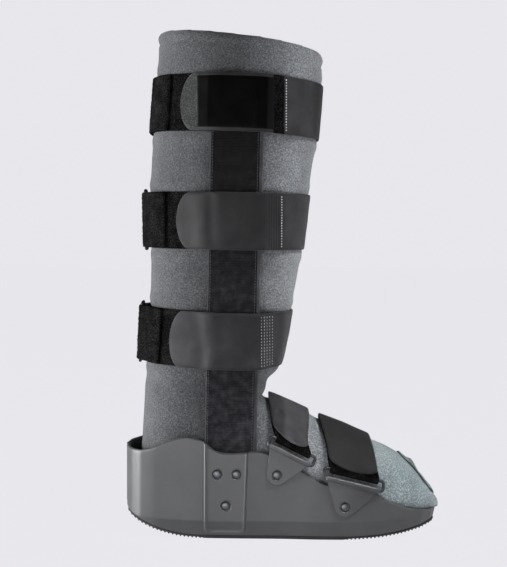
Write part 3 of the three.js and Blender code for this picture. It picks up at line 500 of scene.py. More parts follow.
# A tape with rounded edges: a ring of section points at each station along its path.
def tapePiece(name, pathAt, columns, material, slot, solid, relief):
    acrosses = [-1 + 2 * k / columns for k in range(columns + 1)]
    lines = [pathAt(a) for a in acrosses]
    count = len(lines[0])
    for _ in range(2):  # takes the corners out of the path
        for line in lines:
            before = [p.copy() for p in line]
            for i in range(1, count - 1):
                line[i] = before[i] * 0.5 + (before[i - 1] + before[i + 1]) * 0.25
    wide = [lines[-1][i] - lines[0][i] for i in range(count)]
    edge = tape["thick"] * 0.28
    rings = []
    for i in range(count):
        a, b = max(i - 1, 0), min(i + 1, count - 1)
        normals = [(line[b] - line[a]).cross(wide[i]).normalized() for line in lines]
        taper = 0.55 if i in (0, count - 1) else 1.0

        def place(k, lift, push=0.0):
            p = lines[k][i] + normals[k] * (lift * tape["thick"] / 2 * taper)
            p += wide[i].normalized() * push * taper
            return p + normals[k] * relief(acrosses[k], lift, p)
        flat = [(k, 0.72 if k in (0, columns) else 1) for k in range(columns + 1)]
        rings.append([place(k, lift) for k, lift in flat] + [place(columns, 0, edge)]
                     + [place(k, -lift) for k, lift in flat[::-1]] + [place(0, 0, -edge)])
    piece = meshPiece(name, *loftFaces(rings), material, slot, solid)
    middle = lines[columns // 2]
    lengths = [0.0]
    for i in range(1, count):
        lengths.append(lengths[-1] + (middle[i] - middle[i - 1]).length)
    across = acrosses + [1.0] + acrosses[::-1] + [-1.0]
    half = max(w.length for w in wide) / 2
    layer = piece.data.uv_layers.new(name="UVMap")
    for loop in piece.data.loops:
        row, column = divmod(loop.vertex_index, len(across))
        layer.data[loop.index].uv = (lengths[row] * mm, across[column] * half * mm)
    return piece


def wirePiece(name, loop, radius, solid):
    count = len(loop)
    centre = sum(loop, Vector()) / count
    flat = (loop[0] - centre).cross(loop[count // 5] - centre).normalized()
    rings = []
    for i, p in enumerate(loop):
        out = (loop[(i + 1) % count] - loop[i - 1]).normalized().cross(flat).normalized()
        rings.append([p + out * (radius * c) + flat * (radius * s) for c, s in circle(14)])
    return meshPiece(name, *loftFaces(rings, closed=True), ringSteel, "ring_wire", solid)


def roundedLoop(middle, halfAcross, halfUp, radius, steps=6):
    across, up = halfAcross.normalized(), halfUp.normalized()
    corners = []
    for sx, sy, start in ((1, 1, 0), (-1, 1, 90), (-1, -1, 180), (1, -1, 270)):
        for a in spread(math.radians(start), math.radians(start + 90), steps):
            corners.append(middle + across * (sx * (halfAcross.length - radius) + radius * math.cos(a))
                           + up * (sy * (halfUp.length - radius) + radius * math.sin(a)))
    loop = []
    for i, p in enumerate(corners):
        loop.append(p)
        nxt = corners[(i + 1) % len(corners)]
        if (nxt - p).length > 3:
            loop += [p.lerp(nxt, k / steps) for k in range(1, steps)]
    return loop


stitchShape = [(0, 0.35, -0.25), (0.18, 0.9, 0.0), (0.5, 1, 0.12), (0.82, 0.9, 0.0), (1, 0.35, -0.25)]


# Short threads laid along lines of points with normals, each a little capsule sunk at its ends.
def stitchPiece(name, runs, material, slot, length, gapShare, radius):
    points, faces = [], []
    for run in runs:
        steps = [(run[i + 1][0] - run[i][0]).length for i in range(len(run) - 1)]

        def at(distance):
            i = 0
            while i < len(steps) - 1 and distance > steps[i]:
                distance -= steps[i]
                i += 1
            t = clamp(distance / max(steps[i], 1e-6), 0, 1)
            return run[i][0].lerp(run[i + 1][0], t), run[i][1].lerp(run[i + 1][1], t).normalized()
        count = int(sum(steps) / length)
        for n in range(count):
            start = sum(steps) * n / count + length * gapShare * 0.5
            end = sum(steps) * (n + 1) / count - length * gapShare * 0.5
            rings = []
            for share, fat, sink in stitchShape:
                p, normal = at(mix(start, end, share))
                along = (at(mix(start, end, min(share + 0.05, 1.02)))[0]
                         - at(mix(start, end, max(share - 0.05, -0.02)))[0]).normalized()
                sideways = along.cross(normal).normalized()
                rings.append([p + sideways * (radius * fat * c) + normal * (sink + radius * fat * s)
                              for c, s in circle(5)])
            made, skin = loftFaces(rings)
            faces += [tuple(v + len(points) for v in face) for face in skin]
            points += made
    return meshPiece(name, points, faces, material, slot)


# Materials

def linear(hexText):
    values = [int(hexText[i:i + 2], 16) / 255 for i in (0, 2, 4)]
    return [v / 12.92 if v <= 0.04045 else ((v + 0.055) / 1.055) ** 2.4 for v in values] + [1]


def newMaterial(name):
    made = bpy.data.materials.new(name)
    made.use_nodes = True
    made.node_tree.nodes.clear()
    return made, made.node_tree


def node(tree, kind, inputs=None, **settings):
    made = tree.nodes.new("ShaderNode" + kind)
    for key, value in settings.items():
        setattr(made, key, value)
    for key, value in (inputs or {}).items():
        if isinstance(value, bpy.types.NodeSocket):
            tree.links.new(value, made.inputs[key])
        else:
            made.inputs[key].default_value = value
    return made


def ramp(tree, source, places, shades):
    made = node(tree, "ValToRGB", {"Fac": source})
    band = made.color_ramp
    while len(band.elements) < len(shades):
        band.elements.new(0.5)
    for element, place, shade in zip(band.elements, places, shades):
        element.position = place
        element.color = linear(shade)
    return made.outputs["Color"]


def ranged(tree, value, low, high, first, last, kind="LINEAR"):
    return node(tree, "MapRange", {"Value": value, "From Min": low, "From Max": high, "To Min": first,
                                   "To Max": last}, interpolation_type=kind).outputs[0]


def grainOf(tree, place, size, detail=2, rough=0.5):  # size in mm
    return node(tree, "TexNoise", {"Vector": place, "Scale": 1 / (size * mm), "Detail": detail,
                                   "Roughness": rough}).outputs["Fac"]


# Painted light and shade in steps along a piece, fitted to measured tones, where real wear and dust can't be
# told apart from light. Tone steps along a piece, fitted to the photo's tones: wear and dust can't be told
# there from its light, so some of that light is in them.
# A row: axis, from and to in metres, factor at each, kind of step.
def paintLightSteps(tree, colour, rows):
    parts = node(tree, "SeparateXYZ", {"Vector": node(tree, "TexCoord").outputs["Object"]}).outputs
    for axis, *levels in rows:
        factor = ranged(tree, parts[axis], *levels)
        colour = node(tree, "VectorMath", {0: colour, "Scale": factor}, operation="SCALE").outputs[0]
    return colour


def finishSurface(tree, colour, height, strength, depth, **shader):
    values = {"Base Color": colour, **{key.replace("_", " "): value for key, value in shader.items()}}
    bump = node(tree, "Bump", {"Strength": strength, "Distance": depth * mm, "Height": height})
    surface = node(tree, "BsdfPrincipled", {**values, "Normal": bump.outputs["Normal"]})
    node(tree, "OutputMaterial", {"Surface": surface.outputs["BSDF"]})


def knitMaterial(name, look):
    made, tree = newMaterial(name)
    place = node(tree, "TexCoord").outputs["Object"]
    fine = grainOf(tree, place, look["fleck"], 3, 0.65)
    blend = node(tree, "Math", {0: grainOf(tree, place, look["patch"]), 1: 0.25, 2: fine},
                 operation="MULTIPLY_ADD").outputs[0]
    middle, span = 0.625, look.get("span", 0.165)
    colour = ramp(tree, blend, (middle - span, middle, middle + span), look["shades"])
    colour = paintLightSteps(tree, colour, look.get("paintedLight", []))
    if "toe" in look:  # the tint grows toward the toe
        along = node(tree, "SeparateXYZ", {"Vector": place}).outputs["X"]
        share = ranged(tree, along, 0.09, 0.15, 0, 1)
        colour = node(tree, "Mix", {0: share, 6: colour, 7: linear(look["toe"])}, data_type="RGBA",
                      blend_type="SOFT_LIGHT").outputs[2]
    height = node(tree, "Math", {0: grainOf(tree, place, look["pile"]), 1: fine}, operation="ADD").outputs[0]
    finishSurface(tree, colour, height, look["bump"], 0.5, Roughness=0.95, Sheen_Weight=look["sheen"],
                  Sheen_Roughness=0.5, Specular_IOR_Level=look["shine"])
    return made


def weaveMaterial(name, look):
    made, tree = newMaterial(name)
    place = node(tree, "UVMap", uv_map="UVMap").outputs["UV"]
    parts = node(tree, "SeparateXYZ", {"Vector": place}).outputs
    waves = []
    for axis, pitch in zip("XY", look["pitch"]):
        turn = node(tree, "Math", {0: parts[axis], 1: 2 * math.pi / (pitch * mm)}, operation="MULTIPLY")
        waves.append(node(tree, "Math", {0: turn.outputs[0]}, operation="SINE").outputs[0])
    cross = node(tree, "Math", {0: waves[0], 1: waves[1]}, operation="MULTIPLY").outputs[0]
    shade = node(tree, "Math", {0: cross, 1: 0.11, 2: grainOf(tree, place, look["patch"], 4, 0.6)},
                 operation="MULTIPLY_ADD").outputs[0]
    colour = ramp(tree, shade, (0.34, 0.5, 0.68), look["shades"])
    colour = paintLightSteps(tree, colour, look.get("paintedLight", []))
    finishSurface(tree, colour, cross, look["bump"], 0.25, Roughness=look["rough"],
                  Sheen_Weight=look["sheen"], Sheen_Roughness=0.4, Specular_IOR_Level=look["shine"])
    return made


def mouldedMaterial(name, look):
    made, tree = newMaterial(name)
    place = node(tree, "TexCoord").outputs["Object"]
    broad = grainOf(tree, place, look["patch"], 4, 0.6)
    colour = ramp(tree, broad, (0.35, 0.65), look["shades"])
    finishSurface(tree, colour, grainOf(tree, place, look["grain"]), look["bump"], 0.2,
                  Roughness=ranged(tree, broad, 0.3, 0.7, *look["rough"]),
                  Metallic=look.get("metal", 0.0), Specular_IOR_Level=look["shine"])
    return made


# Polyester knit brushed over foam: soft flecks and a slight halo at grazing angles. Forward of the instep it
# is painted up to 3.5 times lighter: partly painted light and partly the paler cloth of the toe.
linerKnit = knitMaterial("liner knit", {
    "fleck": 1.25, "patch": 40, "pile": 0.7, "shades": ("383A3C", "4D4F51", "696B6D"),
    "bump": 0.55, "sheen": 0.25, "shine": 0.2, "toe": "BACACA", "paintedLight": [("X", 0.01, 0.06, 1.0, 3.5)]})
# Smooth coated knit laid over the toe, dyed paler: flat, slightly green flecks.
toeKnit = knitMaterial("toe knit", {
    "fleck": 1.8, "patch": 20, "pile": 0.7, "shades": ("626B6B", "747E7E", "8A9595"),
    "bump": 0.35, "sheen": 0.2, "shine": 0.2})
# Hook-and-loop tape, nylon napped into loops: black, matt and deep, with a few lit loops.
loopPile = knitMaterial("loop pile", {
    "fleck": 0.9, "patch": 12, "pile": 0.5, "shades": ("020202", "060606", "303030"),
    "span": 0.13, "bump": 1.0, "sheen": 0.0, "shine": 0.04})
# Hook tape at the tab's end, cut and rubbed: a fuzzy grey.
tabPile = knitMaterial("tab pile", {
    "fleck": 1.1, "patch": 12, "pile": 0.5, "shades": ("242625", "3A3C3B", "565857"),
    "span": 0.14, "bump": 1.0, "sheen": 0.15, "shine": 0.1})
# Nylon tape, plain weave, calendered smooth: dark with a broad sheen.
# The weave is drawn at 1.1 mm, coarser than a real one, so that it holds at this distance.
strapWeave = weaveMaterial("strap weave", {
    "pitch": (1.1, 1.1), "patch": 30, "shades": ("141416", "1C1C1E", "262628"),
    "bump": 0.35, "rough": 0.62, "sheen": 0.12, "shine": 0.35, "paintedLight": [
        # Painted light and shade, row by row: lighter toward the tab ends, 2.7 times lighter toward the
        # front, much darker furthest forward, a little darker on the foot straps, lighter toward the floor.
        ("X", -0.036, -0.008, 1.3, 1.0, "SMOOTHSTEP"), ("X", 0.047, 0.051, 1.0, 2.7),
        ("X", 0.074, 0.08, 1.0, 0.14), ("Z", 0.11, 0.14, 0.74, 1.0), ("Z", 0.1, 0.27, 2.2, 1.0)]})
# Polyester webbing, woven in ribs: black and matt, with painted light making it up to six times paler toward
# the floor.
coverWeave = weaveMaterial("cover webbing", {
    "pitch": (1.2, 0.9), "patch": 7, "shades": ("060607", "0C0C0E", "161618"),
    "bump": 0.5, "rough": 0.85, "sheen": 0.2, "shine": 0.2, "paintedLight": [("Z", 0.1, 0.34, 6.0, 1.0)]})
# Polyester bias binding, folded over the webbing's edge: a paler, matt line.
coverPiping = weaveMaterial("cover piping", {
    "pitch": (1.0, 0.8), "patch": 18, "shades": ("333336", "404044", "505055"),
    "bump": 0.4, "rough": 0.8, "sheen": 0.2, "shine": 0.25})
# Polyester sewing thread, twisted: matt dots, bright when new and greyer when rubbed.
threads = {name: mouldedMaterial(name, {"grain": 0.3, "patch": 6, "shades": shades, "rough": (0.7, 0.8),
                                        "bump": 0.3, "shine": 0.3})
           for name, *shades in (("sewing thread", "D0D1D3", "ECEDEF"), ("worn thread", "9A9B9D", "B4B5B8"),
                                 ("dark thread", "58585C", "6C6C70"))}
# Nylon, injection-moulded in a tool with a fine spark-eroded grain: satin, broad highlights.
shellPlastic = mouldedMaterial("shell nylon", {
    "grain": 0.5, "patch": 45, "shades": ("464748", "505152"), "rough": (0.4, 0.48), "bump": 0.12,
    "shine": 0.5})
# Nylon sheet, moulded in a polished tool: a little smoother and darker than the shell.
platePlastic = mouldedMaterial("plate nylon", {
    "grain": 0.4, "patch": 20, "shades": ("434446", "4E4F51"), "rough": (0.34, 0.43), "bump": 0.08,
    "shine": 0.5})
# Synthetic rubber, pressed in ribs: dull and dark, scuffed in patches.
treadRubber = mouldedMaterial("tread rubber", {
    "grain": 0.8, "patch": 15, "shades": ("2A2B2C", "3A3B3C"), "rough": (0.75, 0.9), "bump": 0.3,
    "shine": 0.4})
# Steel wire, plated and tumbled: dull dark metal.
ringSteel = mouldedMaterial("ring steel", {
    "grain": 0.6, "patch": 5, "shades": ("404245", "585A5E"), "rough": (0.38, 0.5), "bump": 0.05,
    "metal": 1.0, "shine": 0.5})
# Steel rivet under baked enamel: grey, with a soft glint on its dome.
rivetSteel = mouldedMaterial("rivet enamel", {
    "grain": 0.4, "patch": 3, "shades": ("5C5E60", "707275"), "rough": (0.32, 0.42), "bump": 0.04,
    "metal": 1.0, "shine": 0.5})
# Polyester film, pressed flat on the tape: black and glossy.
filmBlack = mouldedMaterial("tab film", {
    "grain": 3, "patch": 15, "shades": ("030304", "060607"), "rough": (0.3, 0.38), "bump": 0.05,
    "shine": 0.08})
print("materials ready")

# Liner

liner = {
    "voxel": 2.3, "rounding": 3, "collar": 9.5, "collarDip": 1.1, "collarRoll": 0.7, "strapPress": 1.6,
    "pressEdge": 7, "pressRoll": 1.0, "ankleFolds": 1.5, "heelFolds": 0.7, "lumps": 0.9, "stretch": 3.6,
    "play": 0.5,
}


def legRings(grow, low, high, count, around):
    rings = []
    for up in spread(low, high, count):
        tilt = ease(up, 0.6, 1) * body["topSlope"] * body["calfDepth"] / 2
        rings.append([legPoint(360 * i / around, up * body["linerHeight"] + tilt * (1 + c), grow)
                      for i, (c, s) in enumerate(circle(around))])
    return rings


def footRings(grow, count, around):
    first, last = shellX(footSections[0][0]), shellX(footSections[-1][0])
    return [[footPoint(360 * i / around, mix(first, last + grow, math.sin(math.pi / 2 * k / count)), grow)
             for i in range(around)] for k in range(count + 1)]


# How far a point of the outer wall is moved along its normal, in mm.
def linerRelief(p):
    move = 0.0
    share = clamp((p.x + 66) / 132, 0, 1)  # back to front
    if p.z > 118:
        for strap in calfStraps.values():
            away = abs(p.z - mix(strap["back"], strap["front"], share)) - tape["width"] / 2
            move -= liner["strapPress"] * (1 - ease(away, -3, 1.5))
            move += liner["pressRoll"] * hump(away, liner["pressEdge"], 5)
    fromTop = body["linerHeight"] + body["topSlope"] * clamp(p.x + 66, 0, 151) - p.z
    move -= liner["collarDip"] * hump(fromTop, liner["collar"], 1.7)
    move += liner["collarRoll"] * hump(fromTop, liner["collar"] / 2, 3.4)
    wave = noise.noise(Vector((p.x / 38, p.y / 38, p.z / 55))) + 0.4 * noise.noise(p / 17)
    move += liner["lumps"] * wave * mix(0.25, 1, ease(fromTop, 8, 40))
    # creases round the front of the ankle, then above the heel
    fold = math.sin((p.z * 0.9 - p.x * 0.35 + 6 * noise.noise(p / 30)) / 3.1)
    move += liner["ankleFolds"] * hump(p.z, 128, 26) * ease(p.x, -12, 26) * fold
    fold = math.sin((p.z + p.x * 0.5 + 7 * noise.noise(p / 26)) / 4.4)
    return move + liner["heelFolds"] * hump(p.z, 150, 30) * hump(p.x, -60, 22) * fold


def facesOut(p, normal):
    if p.z > 110:
        return normal.dot(p - Vector((legSize(clamp(p.z, 20, 448))[0], 0, p.z))) > 0
    return normal.dot(Vector((0, p.y, p.z - 40 if p.x > 40 else 0))) > 0


def makeLiner():
    outerRings = legRings(0, legSections[0][0], 1 - liner["rounding"] / body["linerHeight"], 90, 120)
    outerRings.append(legRings(-liner["rounding"] / 2, 1, 1, 1, 120)[0])
    outer = looseObject("liner", *loftFaces(outerRings))
    for name, rings, operation in (
            ("foot", footRings(0, 80, 96), "UNION"),
            ("legHollow", legRings(-body["legPadding"], 0.055, 1.03, 60, 96), "DIFFERENCE"),
            ("footHollow", footRings(-body["footPadding"], 60, 72), "DIFFERENCE")):
        combine(outer, looseObject(name, *loftFaces(rings)), operation)
    changeMesh(outer, "REMESH", mode="VOXEL", voxel_size=liner["voxel"] * mm)
    changeMesh(outer, "SMOOTH", factor=0.5, iterations=6)
    normals = [n.vector.copy() for n in outer.data.vertex_normals]
    for vertex, normal in zip(outer.data.vertices, normals):
        p = vertex.co / mm
        if facesOut(p, normal):
            p += normal * linerRelief(p)
        p.z += liner["stretch"] * ease(p.z, 405, 446)
        if p.z < rimHeight(p.x) + 2:  # stays inside the shell
            wall = shellHalf(p.x) - body["shellWall"] - liner["play"]
            p.y = clamp(p.y, -wall, wall)
            p.z = max(p.z, rocker(max(p.x, body["heelX"])) + body["tread"] + body["floor"] + fit)
            if p.x < -60:
                p.x = max(p.x, body["heelX"] + body["shellWall"] + liner["play"])
        vertex.co = p * mm
    return finishPiece(outer, linerKnit, "liner_fabric", "liner")


linerPiece = makeLiner()
print("liner made", len(linerPiece.data.polygons))

toeWrap = {"rows": 60, "columns": 70, "thick": 2.2, "from": 0.889, "to": 0.991, "seam": (88, 62), "end": 176,
           "bump": 3.2, "bumpAt": 168.5, "bead": 0.5, "wrinkle": 0.35, "rise": 0.6}


def makeToeWrap():
    rows, columns = toeWrap["rows"], toeWrap["columns"]

    def at(i, j, face):
        share = i / rows
        x = shellX(mix(toeWrap["from"], toeWrap["to"], share))
        seam = mix(*toeWrap["seam"], share)
        angle = mix(seam, toeWrap["end"], j / columns)
        proud = toeWrap["bump"] * hump(x, toeWrap["bumpAt"], 3.2) * hump(angle, 92, 14)
        proud += toeWrap["bead"] * hump(angle - seam, 3.5, 2.2)
        proud += toeWrap["wrinkle"] * math.sin(x * 1.6 + angle * 0.12) * ease(angle, 120, 170)
        taper = 1 if 0 < j < columns and 0 < i < rows else 0.55
        lift = toeWrap["rise"] * share + ((face - 0.5) * taper + 0.5) * toeWrap["thick"] + face * proud
        return footPoint(angle, x, fit + lift)
    return meshPiece("toe_wrap", *slab(rows, columns, at), toeKnit, "liner_fabric", "toe_wrap", 60)


makeToeWrap()
print("toe wrap made")

# Shell and tread

shell = {"rim": 1.4, "panelLow": 6, "panelBack": -21.5, "panelFront": (14.5, 18.2), "corner": 5,
         "ramp": 0.5, "bead": 0.45}


# How far the raised side panel stands out: 0 beside it, 1 on it, more on the bead at its edge.
def panelShare(x, z):
    front = mix(*shell["panelFront"], clamp((z - shell["panelLow"]) / 105, 0, 1))
    middle, half = (shell["panelBack"] + front) / 2, (front - shell["panelBack"]) / 2
    away = Vector((abs(x - middle) - half + shell["corner"], shell["panelLow"] - z + shell["corner"]))
    outside = Vector((max(away.x, 0), max(away.y, 0))).length + min(max(away.x, away.y), 0)
    inside = shell["corner"] - outside
    return ease(inside, -shell["ramp"], shell["ramp"]) + shell["bead"] * hump(inside, 1.3, 0.75)


# Points round the plan with their normals, closer at the panel's edges.
def planStations(count=110):
    shares = [(1 - math.cos(math.pi * k / count)) / 2 for k in range(count + 1)]
    steps = (0.4, 0.8, 1.2, 1.6, 2.2)
    for edge in (shell["panelBack"], *shell["panelFront"], sum(shell["panelFront"]) / 2):
        shares += [alongShell(edge)] + [alongShell(edge + sign * step) for sign in (-1, 1) for step in steps]
    shares = sorted(set(round(s, 5) for s in shares))
    near = [Vector((shellX(s), -max(readTable(shellPlan, s)[0] * body["shellWidth"] / 2, 0), 0))
            for s in shares]
    loop = near + [onSide(p, sides["far"]) for p in near[-2:0:-1]]
    out = []
    for i, p in enumerate(loop):
        along = (loop[(i + 1) % len(loop)] - loop[i - 1]).normalized()
        out.append((p, Vector((along.y, -along.x, 0))))
    return out, len(near)


# One column of points up the outer face, over the rim and down the inner face.
def shellColumn(p, normal):
    x = clamp(p.x, body["heelX"], toeX)
    low, high = rocker(x) + body["tread"], rimHeight(x)
    floor = low + body["floor"]
    bevel = max(body["bevelHeight"], low + 2)
    top = max(high - shell["rim"], bevel + 1)

    def outer(z, inset=0.0):
        q = p + normal * (bevelGrow(z) - inset + body["panelRise"] * panelShare(x, z))
        return Vector((q.x, q.y, z))

    def inner(z, inset):
        q = p - normal * (body["shellWall"] + inset)
        return Vector((q.x, q.y, z))
    column = [outer(low, 1.2), outer(low + 0.1, 0.5), outer(low + 0.45, 0.12)]
    column += [outer(z) for z in spread(low + 1.1, bevel - 0.5, 9)] + [outer(bevel)]
    column += [outer(z) for z in spread(bevel + 0.5, top, 26)]
    for a in spread(0, math.pi, 7)[1:-1]:
        q = outer(top).lerp(inner(top, 0), (1 - math.cos(a)) / 2)
        column.append(Vector((q.x, q.y, top + shell["rim"] * math.sin(a) ** 0.8)))
    column += [inner(z, 0) for z in spread(top, floor + 5, 12)]
    return column + [inner(floor + 2.4, 0.5), inner(floor + 0.7, 1.4), inner(floor, 3)]


def makeShell():
    stations, nearCount = planStations()
    columns = [shellColumn(p, normal) for p, normal in stations]
    tall, count = len(columns[0]), len(columns)
    faces = []
    for i in range(count):
        for k in range(tall - 1):
            a, b = i * tall + k, (i + 1) % count * tall + k
            faces.append((a, b, b + 1, a + 1))
    for k in (0, tall - 1):  # under the sole, then the floor inside
        for i in range(nearCount - 1):
            across = (i, i + 1, (count - i - 1) % count, (count - i) % count)
            faces.append(tuple(dict.fromkeys(v * tall + k for v in across)))
    piece = looseObject("shell", [p for column in columns for p in column], faces)
    for side in sides.values():
        for x, z in panelRivets:
            cutDish(piece, x, z, shellHalf(x) + body["panelRise"], side)
    return finishPiece(piece, shellPlastic, "shell_plastic", "shell", 38)


# Rings that face sideways: rows of radius and distance from the middle plane.
def discRings(x, z, rows, side, around):
    return [[Vector((x + radius * c, side * y, z + radius * s)) for c, s in circle(around)]
            for radius, y in rows]


# A round dish with a rolled lip, cut into an outer face.
def cutDish(piece, x, z, face, side):
    wide, deep = rivet["dish"] / 2, rivet["depth"]
    bowl = [(math.sin(a), deep * math.cos(a) ** 0.85) for a in spread(0, math.pi / 2, 9)[1:-1]]
    profile = [(0.06, deep)] + bowl + [(1.01, 0.03), (1.07, -0.12), (1.2, -0.5)]
    rings = discRings(x, z, [(wide * r, face - d) for r, d in profile], side, 40)
    combine(piece, looseObject("dish", *loftFaces(rings)), "DIFFERENCE")


makeShell()
print("shell made")

tread = {"pitch": 3.5, "depth": 1.1, "step": 0.7, "inset": 1.5, "ends": 3.2}


def makeTread():
    start, end = body["heelX"] + tread["ends"], toeX - tread["ends"]
    rings = []
    for x in spread(start, end, int((end - start) / tread["step"])):
        ribbed = ease(-x, -body["flatHeel"] - 6, -body["flatHeel"] + 4)
        ribbed += ease(x, body["flatToe"] - 6, body["flatToe"] + 4)
        tooth = 1 if math.sin(2 * math.pi * x / tread["pitch"]) > 0 else 0
        low = rocker(x) + tread["depth"] * tooth * ribbed
        high = rocker(x) + body["tread"] - fit
        wideLow, wideHigh = (max(shellHalf(x) + bevelGrow(z) - tread["inset"], 0.6) for z in (low, high))
        edge = [(wideLow - 0.4, low), (wideLow, low + 0.35), (wideHigh, high - 0.3), (wideHigh - 0.3, high)]
        rings.append([Vector((x, -y, z)) for y, z in edge] + [Vector((x, y, z)) for y, z in edge[::-1]])
    return meshPiece("tread", *loftFaces(rings), treadRubber, "tread_rubber", "tread", 30)


makeTread()
print("tread made")

# Upright covers

cover = {"ribPitch": 2.3, "ribDepth": 0.2, "rows": 700, "columns": 46, "groove": 0.78, "piping": 0.9,
         "pipingFrom": 0.865, "edge": 1.6, "threads": (-0.9, 0.8)}


def roundOff(share):
    return 1 - math.sqrt(max(0, 1 - share * share))


def makeCover(word, side):
    rows, columns, half = cover["rows"], cover["columns"], upright["width"] / 2

    def at(i, j, face):
        z = mix(upright["bottom"], upright["top"], i / rows)
        share = 2 * j / columns - 1
        edge = roundOff(1 - clamp((1 - abs(share)) * half / cover["edge"], 0, 1))
        x = uprightSeat(z)[0] + share * (half - 0.5 * edge * face)
        out = uprightWall(x, z)
        if face:
            out += upright["thick"] - cover["edge"] * edge
            plain = ease(abs(share - cover["groove"]), 0.03, 0.07) * (1 - ease(share, 0.84, 0.88))
            out += cover["ribDepth"] * math.sin(2 * math.pi * z / cover["ribPitch"]) * plain
            out -= 0.8 * hump(share, cover["groove"] + 0.06, 0.025)
            out += 0.55 * hump(share, cover["piping"] + 0.02, 0.06)
            out -= 0.45 * hump(share, -0.86, 0.02)
            fromEnd = min(z - upright["bottom"], upright["top"] - z)
            out -= 1.2 * roundOff(1 - clamp(fromEnd / 1.5, 0, 1))
        return Vector((x, side * out, z))
    piece = meshPiece("cover", *slab(rows, columns, at), coverWeave, "upright_webbing",
                      "upright_cover_" + word, 55)
    mesh = piece.data
    mesh.materials.append(coverPiping)
    layer = mesh.uv_layers.new(name="UVMap")
    for face in mesh.polygons:
        fromMiddle = face.center.x / mm - uprightMiddle(face.center.z / mm)
        face.material_index = 1 if fromMiddle / half > cover["pipingFrom"] else 0
        for loop in face.loop_indices:
            co = mesh.vertices[mesh.loops[loop].vertex_index].co
            layer.data[loop].uv = (co.z, co.x)
    for n, share in enumerate(cover["threads"]):
        run = [coverSpot(z, share, side) for z in spread(upright["bottom"] + 4, upright["top"] - 3, 60)]
        stitchPiece("cover_stitches_%s_%d" % (word, n), [run], threads["dark thread"], "upright_webbing",
                    2.6, 0.25, 0.24)


def coverSpot(z, share, side):
    p, q = (uprightPoint(z, share, upright["thick"] + k) for k in (0.0, 1.0))
    return onSide(p, side), onSide((q - p).normalized(), side)


for word, side in sides.items():
    makeCover(word, side)
print("upright covers made")

# Calf straps, loops and rings

calf = {
    "columns": 16, "pileColumns": 34, "waves": 0.25, "crease": 0.8, "creaseAt": -19, "creased": ("2", "3"),
    "ribs": {"1": (39.6, 48.4, 2.2, 0.42), "2": (33.8, 44.6, 2.15, 0.34), "3": (26.8, 38.8, 2.4, 0.2)},
    "pileTab": "1", "pileEnd": -26.7, "film": (39.2, -26.2), "filmHigh": 0.9, "filmThick": 0.25,
}
sewing = {  # places along X, pitch and radius of the threads
    "1": ([49.7], 2.3, 0.6), "2": ([45.8], 2.3, 0.6), "3": ([28, 30.4, 32.8, 35.2, 37.6], 2.7, 0.42),
}


def calfReliefFor(key):
    start, end, pitch, depth = calf["ribs"][key]

    def relief(across, lift, p):
        move = calf["waves"] * noise.noise(p / 15)
        if lift > 0 and p.y < 0:
            if key in calf["creased"]:
                fold = math.sin(p.x / 3.9 + 0.03 * p.z + 1.4 * noise.noise(p / 20))
                move += calf["crease"] * fold * hump(p.x, calf["creaseAt"], 12)
            if start < p.x < end and abs(across) < 0.96:
                move -= depth * (0.5 - 0.5 * math.cos(2 * math.pi * (p.x - start) / pitch))
        return move
    return relief


def pileRelief(across, lift, p):
    return 0.5 * noise.noise(p / 1.1) + 0.3 * noise.noise(p / 0.5) if lift >= 0 else 0.0


# The angle round the leg at which a strap reaches a place along X.
def angleAt(strap, x, across):
    low, high = 30, 124
    for _ in range(15):
        angle = (low + high) / 2
        if strapPoint(strap, angle, across, mainLift(angle)).x > x:
            low = angle
        else:
            high = angle
    return low


def strapSpot(strap, angle, across, extra):
    lift = mainLift(angle) + tape["thick"] / 2 + extra
    p = strapPoint(strap, angle, across, lift)
    return p, (p - strapPoint(strap, angle, across, lift - 1)).normalized()


# The tab's end shows its hooks, and the tape's pile shows between the ribs.
def showPile(piece, ribs):
    piece.data.materials.append(tabPile)
    piece.data.materials.append(loopPile)
    for face in piece.data.polygons:
        place = face.center.x / mm
        if face.center.y < 0 and place < calf["pileEnd"]:
            face.material_index = 1
        elif face.center.y < 0 and ribs[0] - 0.6 < place < ribs[1]:
            face.material_index = 2


def makeCalfStrap(key, strap):
    piece = tapePiece("calf_tape_" + key, lambda a: calfMainPath(strap, a), calf["columns"], strapWeave,
                      "strap_tape", "calf_strap_" + key, calfReliefFor(key))
    if key == calf["pileTab"]:
        showPile(piece, calf["ribs"][key])
    tapePiece("calf_pile_" + key, lambda a: calfLoopPath(strap, a), calf["pileColumns"], loopPile,
              "loop_tape", "calf_loop_" + key, pileRelief)
    middle, up, sideways = ringFrame(strap)[:3]
    loop = roundedLoop(middle, sideways * (ring["span"] / 2), up * (tape["width"] / 2 + ring["reach"]), 3.2)
    wirePiece("calf_wire_" + key, loop, ring["wire"], "calf_ring_" + key)


def sewCalfStrap(key, strap):
    places, pitch, radius = sewing[key]
    runs = [[strapSpot(strap, angleAt(strap, x, a), a, 0.3) for a in spread(-0.93, 0.93, 12)] for x in places]
    thread = threads["worn thread" if len(places) > 1 else "sewing thread"]
    stitchPiece("calf_stitches_" + key, runs, thread, "strap_tape", pitch, 0.45, radius)


def makeFilm(strap):
    rows, columns = 60, 24
    acrosses = spread(-calf["filmHigh"], calf["filmHigh"], columns)
    ends = [[angleAt(strap, x, a) for x in calf["film"]] for a in acrosses]

    def at(i, j, face):
        thick = calf["filmThick"] * (1.0 if 0 < i < rows and 0 < j < columns else 0.4)
        p, normal = strapSpot(strap, mix(*ends[j], i / rows), acrosses[j], 0.05)
        return p + normal * (face * thick + 0.12 * noise.noise(p / 16))
    return meshPiece("tab_film", *slab(rows, columns, at), filmBlack, "strap_tape", angle=60)


for key, strap in calfStraps.items():
    makeCalfStrap(key, strap)
for key, strap in calfStraps.items():
    sewCalfStrap(key, strap)
makeFilm(calfStraps["1"])
print("calf straps made")

# Foot straps, plates and rivets


